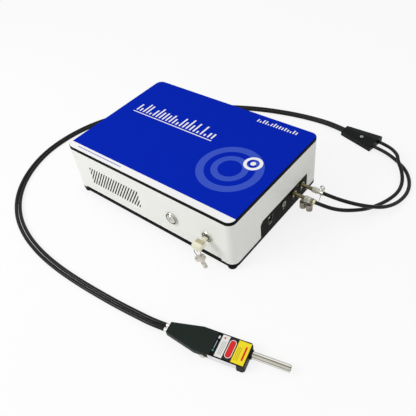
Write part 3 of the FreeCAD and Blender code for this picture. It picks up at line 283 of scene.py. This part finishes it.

# Shell: one bent steel wall, powder-coated white outside, with painted shade inside and on the slot walls: a
# dark colour from a little below the outer faces inward, so that the grille reads dark. Its lower edge stands
# on the base plate.
WALL_X, WALL_Y = 165.0, 113.0
CORNER_RADIUS = 12.0
SHADE_START, SHADE_END = 0.15, 0.3


def millimetres(recipe, place, origin, angle=0.0):
    """The three coordinates of a frame placed on the case, in millimetres."""
    moved = recipe.vector("SUBTRACT", place, tuple(at(*origin)))
    squared = recipe.add("VectorRotate", {"Vector": moved, "Angle": -math.radians(angle)},
                         rotation_type="Z_AXIS")
    split = recipe.add("SeparateXYZ", {0: squared}).node.outputs
    return [recipe.maths("MULTIPLY", split[axis], 1000.0) for axis in range(3)]


def beyond(recipe, value, limit):
    """How far a value lies past a limit on either side of 0, and 0 up to the limit."""
    past = recipe.maths("SUBTRACT", recipe.maths("ABSOLUTE", value), limit)
    return recipe.maths("MAXIMUM", past, 0.0)


def distance(recipe, first, second):
    """The root of the sum of two squares."""
    return recipe.maths("SQRT", recipe.maths("ADD", recipe.maths("MULTIPLY", first, first),
                                             recipe.maths("MULTIPLY", second, second)))


def shell_coat_and_painted_shade(recipe, place):
    """White outside; painted shade, dark, from a little below the faces and the rounded corners inward."""
    x, y, _ = millimetres(recipe, place, (0, 0, 0))
    deep_x = recipe.ramp(recipe.maths("ABSOLUTE", x), WALL_X - SHADE_START, WALL_X - SHADE_END)
    deep_y = recipe.ramp(recipe.maths("ABSOLUTE", y), WALL_Y - SHADE_START, WALL_Y - SHADE_END)
    reach = distance(recipe, beyond(recipe, x, WALL_X - CORNER_RADIUS),
                     beyond(recipe, y, WALL_Y - CORNER_RADIUS))
    deep_corner = recipe.ramp(reach, CORNER_RADIUS - SHADE_START, CORNER_RADIUS - SHADE_END)
    inside = recipe.maths("MULTIPLY", recipe.maths("MULTIPLY", deep_x, deep_y), deep_corner)
    return recipe.blend(inside, linear(240, 241, 236), linear(14, 16, 15))


white_coat_and_painted_shade = skin("white_powder_coat_and_slot_shade", shell_coat_and_painted_shade, 0.45, specular=0.4, tone=0.015, grain=2600.0, relief=0.12)
paint(white_coat_and_painted_shade, "shell")

# Top film: a printed sheet glued into the top plate, blue with a white strip along the front. The print is
# two wide rings with a small one on them, two rows of bars, and a fine dashed rule on the strip.
STRIP_EDGE = -99.85
WIDE_RINGS = (96.0, -22.0)
SMALL_RING = (119.0, 4.0)
LONG_ROW = -138.0
DASH_PITCH = 3.2
RIM = 0.1
blue, pale_blue, paper = linear(10, 40, 182), linear(62, 88, 200), linear(250, 250, 250)


def slab(recipe, value, low_edge, high_edge):
    """1 between two values, 0 outside, with a soft rim."""
    return recipe.maths("MULTIPLY", recipe.ramp(value, low_edge - RIM, low_edge + RIM),
                        recipe.ramp(value, high_edge + RIM, high_edge - RIM))


def spot(recipe, x, y, centre_x, centre_y, radius, half=0.0):
    """1 inside a disc, or inside a bar with round ends that reaches half its length each way along y."""
    across = recipe.maths("SUBTRACT", x, centre_x)
    along = beyond(recipe, recipe.maths("SUBTRACT", y, centre_y), half)
    return recipe.ramp(distance(recipe, along, across), radius + RIM, radius - RIM)


def ring(recipe, x, y, centre_x, centre_y, outer, inner):
    """1 between two circles."""
    return recipe.maths("SUBTRACT", spot(recipe, x, y, centre_x, centre_y, outer),
                        spot(recipe, x, y, centre_x, centre_y, inner))


def bar_row(recipe, x, y, start, count, pitch, width, base, shortest, tallest):
    """1 inside upright bars at an even pitch on one base line, each with a height of its own."""
    along = recipe.maths("SUBTRACT", x, start)
    above = recipe.maths("SUBTRACT", y, base)
    cell = recipe.maths("FLOOR", recipe.maths("DIVIDE", along, pitch))
    chance = recipe.add("TexWhiteNoise", {"W": cell}, noise_dimensions="1D")
    height = recipe.ramp(chance, 0.0, 1.0, shortest, tallest)
    inside = recipe.maths("MULTIPLY", recipe.ramp(above, -RIM, RIM),
                          recipe.ramp(recipe.maths("SUBTRACT", above, height), RIM, -RIM))
    middle = recipe.maths("SUBTRACT", recipe.maths("PINGPONG", along, pitch / 2), pitch / 2)
    upright = recipe.ramp(middle, -width / 2 - RIM, -width / 2 + RIM)
    return recipe.maths("MULTIPLY", recipe.maths("MULTIPLY", inside, upright),
                        slab(recipe, x, start, start + count * pitch))


def film_print(recipe, place):
    """Blue field with rings and two rows of bars, white strip with a fine rule."""
    x, y, _ = millimetres(recipe, place, (0, 0, 0))
    ink = blue
    for outer, inner in ((50.0, 38.0), (28.0, 18.0)):
        ink = recipe.blend(ring(recipe, x, y, *WIDE_RINGS, outer, inner), ink, pale_blue)
    for mark in (ring(recipe, x, y, *SMALL_RING, 14.5, 9.5), spot(recipe, x, y, *SMALL_RING, 4.2),
                 bar_row(recipe, x, y, LONG_ROW, count=23, pitch=7.4, width=3.0, base=20.0, shortest=5.0,
                         tallest=27.0),
                 recipe.maths("MULTIPLY", slab(recipe, y, 14.6, 16.4), slab(recipe, x, LONG_ROW, 32.2)),
                 bar_row(recipe, x, y, 62.0, count=15, pitch=5.0, width=2.2, base=94.0, shortest=3.0,
                         tallest=10.0)):
        ink = recipe.blend(mark, ink, paper)
    ink = recipe.blend(recipe.ramp(y, STRIP_EDGE + 0.05, STRIP_EDGE - 0.05), ink, paper)
    dashes = recipe.ramp(recipe.maths("PINGPONG", x, DASH_PITCH / 2), 0.3, 0.5)
    rule = recipe.maths("MULTIPLY", slab(recipe, y, -106.0, -104.2), slab(recipe, x, -144.0, -46.0))
    return recipe.blend(recipe.maths("MULTIPLY", rule, dashes), ink, linear(60, 84, 190))


paint(skin("printed_film", film_print, 0.36, specular=0.0, tone=0.03, cloud=40.0, grain=1800.0, relief=0.04),
      "top_film")

# Power button: a turned chrome bezel with a sprung cap. The cap's face has a dark lamp ring let into its
# groove and a raised arc with a bar, the usual sign for power.
BUTTON = (55.0, 49.0)
CAP_FACE = -WALL_Y - 3.1
DARK_REFLECTION_RADIUS = 9.3
SIGN_RADIUS, SIGN_WIRE = 2.1, 0.3


def grid_piece(name, grid, body, material, closed):
    """A mesh over a grid of points in millimetres; a closed direction joins its last line to its first."""
    rows, columns = grid.shape[:2]
    row = np.arange(rows - (not closed[0]))[:, None]
    column = np.arange(columns - (not closed[1]))[None, :]
    next_row, next_column = (row + 1) % rows, (column + 1) % columns
    faces = np.stack((row * columns + column, row * columns + next_column, next_row * columns + next_column,
                      next_row * columns + column), -1).reshape(-1, 4)
    points = grid.reshape(-1, 3) / 1000 + np.array(centre)
    mesh = bpy.data.meshes.new(name)
    mesh.from_pydata(points.tolist(), [], faces.tolist())
    mesh.polygons.foreach_set("use_smooth", np.ones(len(faces), bool))
    mesh.materials.append(material)
    piece = bpy.data.objects.new(name, mesh)
    bpy.context.scene.collection.objects.link(piece)
    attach(piece, body)
    return piece


def turned(profile, origin, axis, count=48):
    """Grid of a profile of (radius, height) turned about an axis: the origin, plus the height along the axis,
    plus the radius in each direction round it."""
    axis = np.array(axis, float) / np.linalg.norm(axis)
    helper = np.array((0.0, 0.0, 1.0)) if abs(axis[2]) < 0.9 else np.array((1.0, 0.0, 0.0))
    first = np.cross(helper, axis)
    first /= np.linalg.norm(first)
    second = np.cross(axis, first)
    radius, height = np.array(profile, float).T
    angle = np.linspace(0, 2 * np.pi, count, endpoint=False)
    round_axis = np.cos(angle)[:, None] * first + np.sin(angle)[:, None] * second
    return np.array(origin) + height[:, None, None] * axis + radius[:, None, None] * round_axis[None]


def swept(path, radius, count=12, tip=0.15):
    """Grid of a round wire along a path: a circle square to the path's direction at each point, closed at the
    ends by circles that shrink to the tip's share of the radius."""
    path = np.array(path, float)
    path = np.concatenate((path[:1], path, path[-1:]))
    heading = np.gradient(path, axis=0)
    heading[0], heading[-1] = heading[1], heading[-2]
    heading /= np.linalg.norm(heading, axis=1)[:, None]
    mean = np.linalg.svd(heading)[2][-1]
    first = np.cross(heading, mean)
    first /= np.linalg.norm(first, axis=1)[:, None]
    second = np.cross(heading, first)
    girth = np.full(len(path), float(radius))
    girth[[0, -1]] *= tip
    angle = np.linspace(0, 2 * np.pi, count, endpoint=False)[None, :, None]
    round_path = np.cos(angle) * first[:, None] + np.sin(angle) * second[:, None]
    return path[:, None] + girth[:, None, None] * round_path


chrome = skin("bright_chrome", linear(206, 204, 192), 0.14, metal=1.0, tone=0.12, cloud=90.0, relief=0.04,
              edge=0.0003)
paint(chrome, "trigger_button")


def bezel_painted_reflection(recipe, place):
    """Bright rim; inside it, over the sloped groove, a painted reflection, darker with an olive tinge."""
    x, _, z = millimetres(recipe, place, (0, 0, 0))
    groove = spot(recipe, x, z, *BUTTON, DARK_REFLECTION_RADIUS)
    return recipe.blend(groove, linear(232, 232, 224), linear(84, 84, 58))


paint(skin("bezel_chrome_painted_reflection", bezel_painted_reflection, 0.2, metal=1.0, tone=0.5, cloud=60.0, relief=0.04, edge=0.0003),
      "power_button_housing")
button_face = skin("button_face", linear(236, 234, 226), 0.26, metal=1.0, tone=0.1, cloud=80.0, grain=500.0)
paint(button_face, "power_button_cap")
lamp_lens = skin("lamp_lens", linear(58, 60, 48), 0.25, specular=0.2, tone=0.2)
ring_profile = [(4.45, -0.35), (4.45, -0.1), (4.6, -0.05), (5.0, -0.05), (5.15, -0.1), (5.15, -0.35)]
grid_piece("button_lamp_ring", turned(ring_profile, (BUTTON[0], CAP_FACE, BUTTON[1]), (0, -1, 0)),
           "power_button", lamp_lens, (True, True))
sweep = np.radians(np.linspace(-230, 50, 40))
arc = np.stack((BUTTON[0] + SIGN_RADIUS * np.cos(sweep), np.full(40, CAP_FACE),
                BUTTON[1] + SIGN_RADIUS * np.sin(sweep)), -1)
stroke = np.stack((np.full(8, BUTTON[0]), np.full(8, CAP_FACE), BUTTON[1] + np.linspace(0.3, 3.0, 8)), -1)
for name, path in (("button_sign_arc", arc), ("button_sign_bar", stroke)):
    grid_piece(name, swept(path, SIGN_WIRE), "power_button", lamp_lens, (False, True))

# Key switch: chrome bezel and steel rotor, and a key with a cream moulded head, ribbed for grip. A split ring
# of two turns of steel wire goes through its lug and carries the flat spare key.
LOCK_X, LOCK_Z = 120.7, 49.0
HEAD_NEAR, HEAD_FAR = -WALL_Y - 12.0, -WALL_Y - 25.0
RING_Y, RING_Z, RING_RADIUS, RING_WIRE, RING_LEAD = -135.7, 36.5, 6.8, 0.38, 0.68


def lock_painted_reflection(recipe, place):
    """Bright chrome with a painted reflection, a dull olive band, where the dished face meets the rim."""
    x, _, z = millimetres(recipe, place, (0, 0, 0))
    band = ring(recipe, x, z, LOCK_X, LOCK_Z, 8.3, 6.2)
    return recipe.blend(band, linear(226, 224, 214), linear(120, 122, 92))


paint(skin("lock_chrome_painted_reflection", lock_painted_reflection, 0.16, metal=1.0, tone=0.5, cloud=70.0, relief=0.04, edge=0.0003),
      "lock_housing")
paint(skin("rotor_steel", linear(84, 82, 74), 0.25, metal=1.0, tone=0.25, cloud=80.0), "lock_rotor")


def key_cream_and_painted_shade(recipe, place):
    """Cream, with painted shade: greyer on the half of the head's upper side that lies next to the case."""
    _, y, z = millimetres(recipe, place, (0, 0, LOCK_Z))
    top_shade = recipe.maths("MULTIPLY", recipe.ramp(z, 3.3, 3.9),
                           recipe.ramp(y, HEAD_NEAR - 7.2, HEAD_NEAR - 6.2))
    return recipe.blend(top_shade, linear(243, 240, 218), linear(190, 182, 150))


key_moulding = skin("key_moulding", key_cream_and_painted_shade, 0.4, specular=0.3, tone=0.08, grain=1200.0, relief=0.12)
paint(key_moulding, "key")


def rib(name, line, wire):
    """One grip rib of the key's head: a thin half-sunk wire along a line."""
    grid_piece(name, swept(line, wire, 10, 0.3), "key_switch", key_moulding, (False, True))


for index, y in enumerate(np.linspace(HEAD_NEAR - 2.6, HEAD_FAR + 2.4, 5)):
    line = np.stack((LOCK_X + np.linspace(-6.2, 6.2, 12), np.full(12, y), np.full(12, LOCK_Z + 4.0)), -1)
    rib("key_top_rib_%d" % index, line, 0.28)
for index, x in enumerate(np.linspace(-5.6, 5.6, 8)):
    line = np.stack((np.full(10, LOCK_X + x), np.full(10, HEAD_FAR), LOCK_Z + np.linspace(-2.9, 2.9, 10)), -1)
    rib("key_front_rib_%d" % index, line, 0.26)
ring_steel = skin("ring_steel", linear(160, 156, 142), 0.3, metal=1.0, tone=0.2, cloud=120.0, edge=0.0002)
turn = np.linspace(0, 4 * np.pi, 161)
coil = np.stack((LOCK_X + RING_RADIUS * np.sin(turn), RING_Y - RING_LEAD / 2 + RING_LEAD * turn / turn[-1],
                 RING_Z + RING_RADIUS * np.cos(turn)), -1)
split_ring = grid_piece("split_ring", swept(coil, RING_WIRE, 12, 0.4), "ring", ring_steel,
                        (False, True))
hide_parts("key_ring")
paint(skin("spare_key_steel", linear(226, 221, 206), 0.3, metal=1.0, tone=0.5, cloud=170.0, grain=700.0,
           relief=0.2, edge=0.0006), "spare_key")

# Side panel: a black-coated steel plate let into the wall, with plain light marks beside its sockets. The
# data socket is a folded metal shell with a tongue, the power jack a moulding with a metal sleeve and pin.
SOCKET_Y, JACK_Y, SOCKET_Z = -23.0, 13.0, 32.0
PANEL_MARKS = ((SOCKET_Y, 22.0, 3.4, 0.8), (JACK_Y, 21.6, 1.0, 0.8), (18.6, 23.0, 0.4, 0.7),
               (40.3, 21.6, 0.6, 0.9), (63.7, 21.6, 1.0, 0.9), (53.0, 38.0, 1.6, 0.7))


def panel_print(recipe, place):
    """Black coat with short light bars, each given by its middle, its half length and its half height."""
    _, y, z = millimetres(recipe, place, (0, 0, 0))
    ink = linear(18, 22, 18)
    for middle_y, middle_z, half, thick in PANEL_MARKS:
        ink = recipe.blend(spot(recipe, z, y, middle_z, middle_y, thick, half), ink, linear(176, 178, 170))
    return ink


def socket_print(recipe, place):
    """Dull folded shell round a bright tongue with round ends, 5.2 by 8.4 mm."""
    _, y, z = millimetres(recipe, place, (0, SOCKET_Y, SOCKET_Z))
    tongue = spot(recipe, z, y, 0.0, 0.0, 2.6, 1.6)
    return recipe.blend(tongue, linear(88, 86, 76), linear(236, 234, 222))


def jack_print(recipe, place):
    """Black moulding outside a bright sleeve; the bore is dark round a bright pin."""
    _, y, z = millimetres(recipe, place, (0, JACK_Y, SOCKET_Z))
    ink = recipe.blend(spot(recipe, y, z, 0.0, 0.0, 4.1), linear(24, 25, 25), linear(206, 204, 192))
    ink = recipe.blend(spot(recipe, y, z, 0.0, 0.0, 2.95), ink, linear(26, 26, 26))
    return recipe.blend(spot(recipe, y, z, 0.0, 0.0, 1.1), ink, linear(206, 200, 176))


paint(skin("panel_coat", panel_print, 0.5, specular=0.03, tone=0.2, grain=2200.0, relief=0.2),
      "connector_panel")
paint(skin("socket_shell", socket_print, 0.3, metal=0.8, tone=0.2, cloud=90.0), "usb_socket")
paint(skin("jack_moulding", jack_print, 0.35, specular=0.4, tone=0.1), "power_jack")

# Fibre couplings: turned brass ports, knurled nickel nuts, crimp sleeves on the cables, the tether's clamp
# with its eye, and two knurled dust caps that hang from the lower connector.
paint(skin("aged_brass", linear(150, 142, 110), 0.3, metal=1.0, tone=0.35, cloud=90.0, grain=600.0),
      "fibre_ports")
paint(skin("nut_nickel", linear(224, 222, 210), 0.28, metal=1.0, tone=0.3, cloud=90.0), "coupling_nut_a",
      "coupling_nut_b")
paint(skin("crimp_silver", linear(218, 216, 206), 0.26, metal=1.0, tone=0.15, cloud=90.0), "connector_a")
paint(skin("crimp_gilt", linear(214, 200, 146), 0.26, metal=1.0, tone=0.2, cloud=90.0), "connector_b")
paint(skin("tether_silver", linear(226, 225, 216), 0.24, metal=1.0, tone=0.12, cloud=120.0), "cap_tether")
paint(skin("cap_nickel", linear(164, 159, 146), 0.34, metal=1.0, tone=0.35, cloud=100.0, grain=500.0),
      "dust_caps")

# Cable junction: two moulded tapered shells, matt black with a fine spark-eroded grain, held by one steel
# screw with a hexagon socket.
junction_moulding = skin("junction_moulding", linear(10, 14, 13), 0.42, specular=0.12, tone=0.15,
                         grain=1300.0, relief=0.3, edge=0.0008, worn=linear(96, 102, 98))
paint(junction_moulding, "junction_base", "junction_lid")


def screw_print_socket_shade(recipe, place):
    """Bright rim round the socket; the socket is painted dark as painted shade."""
    low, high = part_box("junction_screw")
    middle = ((low + high) / 2 - centre) * 1000
    x, y, _ = millimetres(recipe, place, (middle.x, middle.y, 0))
    return recipe.blend(spot(recipe, x, y, 0.0, 0.0, 1.5), linear(206, 206, 200), linear(44, 44, 42))


paint(skin("junction_screw_steel", screw_print_socket_shade, 0.28, metal=1.0, tone=0.15, cloud=120.0), "junction_screw")

# Probe: a moulded chassis and lid in dark green-grey, a black nose, bright side plates, two chromed ferrules,
# a drawn steel tube with painted reflections along it, and a small lamp beside the label.
BAND_X = 156.2
LAMP_X = 158.6
TUBE_Y, TUBE_Z = 6.0, 6.4


def on_probe(recipe, place, height=0):
    """The three coordinates of the probe's own frame, in millimetres, from a height."""
    return millimetres(recipe, place, (PROBE[0], PROBE[1], height), PROBE[2])


def lid_print(recipe, place):
    """Dark green-grey, with a black band, a fine light line and a light dot before the label."""
    x, y, _ = on_probe(recipe, place)
    ink = recipe.blend(recipe.ramp(x, BAND_X, BAND_X + 0.2), linear(33, 41, 37), linear(12, 14, 14))
    ink = recipe.blend(spot(recipe, x, y, LAMP_X, -0.5, 0.4, 5.5), ink, linear(170, 184, 190))
    return recipe.blend(spot(recipe, x, y, 159.2, 10.2, 1.2, 1.0), ink, linear(214, 216, 214))


paint(skin("probe_lid_moulding", lid_print, 0.5, specular=0.07, tone=0.1, grain=1400.0, relief=0.2,
           worn=linear(96, 104, 100), wear=0.5), "probe_lid")
paint(skin("probe_moulding", linear(34, 40, 37), 0.45, specular=0.15, tone=0.12, grain=1400.0, relief=0.25,
           worn=linear(96, 104, 100), wear=0.5), "probe_body")
paint(skin("nose_moulding", linear(20, 21, 21), 0.45, specular=0.12, tone=0.1, worn=linear(80, 80, 76),
           wear=0.4), "probe_front_cap")
paint(skin("side_plate_alloy", linear(232, 232, 236), 0.24, metal=1.0, tone=0.08, cloud=60.0),
      "probe_side_plates")
paint(skin("ferrule_chrome", linear(238, 236, 232), 0.2, metal=1.0, tone=0.06, cloud=90.0),
      "probe_ferrules")


def tube_painted_reflection(recipe, place):
    """Steel with painted reflections: darker stripes along the tube, at uneven places round it."""
    _, y, z = on_probe(recipe, place, TUBE_Z)
    turn = recipe.maths("ARCTAN2", recipe.maths("SUBTRACT", y, TUBE_Y), z)
    lines = recipe.add("TexNoise", {"W": turn, "Scale": 2.6, "Detail": 1.0}, noise_dimensions="1D")
    return recipe.blend(recipe.ramp(lines, 0.42, 0.6), linear(128, 124, 110), linear(246, 244, 236))


paint(skin("tube_steel_painted_reflection", tube_painted_reflection, 0.2, metal=1.0, tone=0.1, cloud=60.0), "probe_tube")
lamp_teal = skin("lamp_teal", linear(52, 128, 138), 0.2, tone=0.1)
dome = [(1.5, 0.0), (1.45, 0.25), (1.2, 0.5), (0.8, 0.68), (0.4, 0.78), (0.05, 0.8)]
grid_piece("probe_lamp", turned(dome, framed(PROBE, LAMP_X, -9.0, 13.0), (0, 0, 1), 32), "case",
           lamp_teal, (False, True))

# Probe label: a thin film printed in three fields that follow each other along the probe, glued on the lid.
# Its print is plain rules, a dot and two bars.
BLACK_FIELD, YELLOW_FIELD = 172.4, 184.0
GREY_RULES, OCHRE_RULES = (165.6, 167.6, 169.6), (186.6, 188.6, 190.6)
WIDE_BAR = (178.2, 0.0)


def label_print(recipe, place):
    """White, black and yellow fields along the probe, with rules, a red dot and two red bars."""
    x, y, _ = on_probe(recipe, place)
    black_field = recipe.ramp(x, BLACK_FIELD, BLACK_FIELD + 0.1)
    yellow_field = recipe.ramp(x, YELLOW_FIELD, YELLOW_FIELD + 0.1)
    red = linear(216, 30, 24)
    ink = recipe.blend(black_field, linear(234, 234, 230), linear(19, 19, 19))
    ink = recipe.blend(yellow_field, ink, linear(248, 226, 24))
    ink = recipe.blend(spot(recipe, x, y, *WIDE_BAR, 4.5, 8.2), ink, linear(238, 238, 234))
    ink = recipe.blend(spot(recipe, x, y, *WIDE_BAR, 3.7, 8.2), ink, red)
    ink = recipe.blend(spot(recipe, x, y, 166.4, 11.4, 1.3), ink, red)
    for rules, tint in ((GREY_RULES, linear(140, 140, 138)), (OCHRE_RULES, linear(146, 130, 30))):
        for rule_x in rules:
            ink = recipe.blend(spot(recipe, x, y, rule_x, -2.5, 0.28, 9.0), ink, tint)
    return recipe.blend(spot(recipe, x, y, 196.0, 0.0, 1.2, 8.5), ink, red)


paint(skin("label_print", label_print, 0.34, specular=0.3, tone=0.04, grain=1500.0, relief=0.04),
      "probe_label")

# Inside of the case: a moulded fan behind the grille, boards on standoffs, the black optical bench, the laser
# on its spreader and the fibre leads; all screwed to the base plate and mostly unseen.
paint(skin("fan_moulding", linear(28, 28, 28), 0.5, specular=0.3), "fan_frame", "fan_rotor")
paint(skin("solder_resist", linear(20, 92, 48), 0.35, tone=0.2, cloud=60.0), "driver_board", "control_board",
      "detector_board")
paint(skin("black_anodised", linear(34, 34, 38), 0.4, specular=0.3, worn=linear(140, 140, 140)), "bench_base",
      "bench_cover", "slit_holder")
paint(skin("milled_alloy", linear(216, 216, 214), 0.3, metal=1.0, tone=0.12), "laser_spreader",
      "laser_module", "detector_heat_sink")
paint(skin("fibre_sleeve", linear(216, 140, 40), 0.4), "fibre_leads")
paint(skin("coated_glass", linear(150, 178, 190), 0.08, specular=0.8, tone=0.1), "bench_mirrors", "grating",
      "probe_optics")

# Table and light: a white table that keeps a faint shadow, a sky that is bright overhead and dim at its foot,
# a broad lamp over the left front and a weak one at the right.
TABLE_REACH = 6
table_mesh = bpy.data.meshes.new("table")
lines = np.linspace(-TABLE_REACH, TABLE_REACH, 5)
edge_x, edge_y = np.meshgrid(lines, lines)
table_points = np.stack((edge_x, edge_y, np.zeros_like(edge_x)), -1).reshape(-1, 3)
cell = (np.arange(4)[:, None] * 5 + np.arange(4)).reshape(-1, 1)
table_mesh.from_pydata(table_points.tolist(), [], (cell + np.array((0, 1, 6, 5))).tolist())
table_skin = skin("table_surface", linear(246, 246, 246), 0.9, specular=0.05, tone=0.005, cloud=3.0,
                  grain=300.0, relief=0.02)
table_mesh.materials.append(table_skin)
table = bpy.data.objects.new("table", table_mesh)
bpy.context.scene.collection.objects.link(table)


def seen_rays(recipe):
    """1 for what the camera, metal and glass see; 0 for the light that falls on the object."""
    rays = recipe.nodes.new("ShaderNodeLightPath").outputs
    seen = recipe.maths("MAXIMUM", rays["Is Camera Ray"], rays["Is Glossy Ray"])
    return recipe.maths("MAXIMUM", seen, rays["Is Transmission Ray"])


recipe = Recipe(table_skin.node_tree)
white = recipe.add("Emission", {"Color": (1.0, 1.0, 1.0, 1.0), "Strength": 1.0})
whiteness = recipe.maths("MULTIPLY", seen_rays(recipe), 0.8)
shown = recipe.add("MixShader", {0: whiteness, 1: recipe.nodes["Principled BSDF"].outputs[0], 2: white})
recipe.put(recipe.nodes["Material Output"].inputs["Surface"], shown)

world = bpy.data.worlds.new("studio")
world.use_nodes = True
recipe = Recipe(world.node_tree)
height = recipe.add("SeparateXYZ", {0: recipe.add("TexCoord", out="Generated")}, out=2)
lighting = recipe.ramp(height, 0.0, 0.5, to_low=0.12, to_high=0.72)
backdrop = recipe.ramp(height, 0.0, 0.35, to_low=0.3, to_high=1.0)
sky = recipe.nodes["Background"].inputs
sky["Color"].default_value = (1.0, 1.0, 1.0, 1.0)
recipe.put(sky["Strength"], recipe.add("Mix", {0: seen_rays(recipe), 2: lighting, 3: backdrop}))
bpy.context.scene.world = world


def lamp(name, place, power, width):
    """A square soft lamp that faces the middle of the case."""
    data = bpy.data.lights.new(name, "AREA")
    data.energy = power
    data.size = width
    item = bpy.data.objects.new(name, data)
    facing = (place - at(0, 0, 40)).to_track_quat("Z", "Y").to_matrix().to_4x4()
    item.matrix_world = Matrix.Translation(place) @ facing
    bpy.context.scene.collection.objects.link(item)


lamp("key_light", at(-800, -1200, 1100), 13.0, 0.8)
lamp("right_light", at(1300, -100, 800), 1.0, 0.9)
bpy.context.scene.view_settings.view_transform = "Standard"
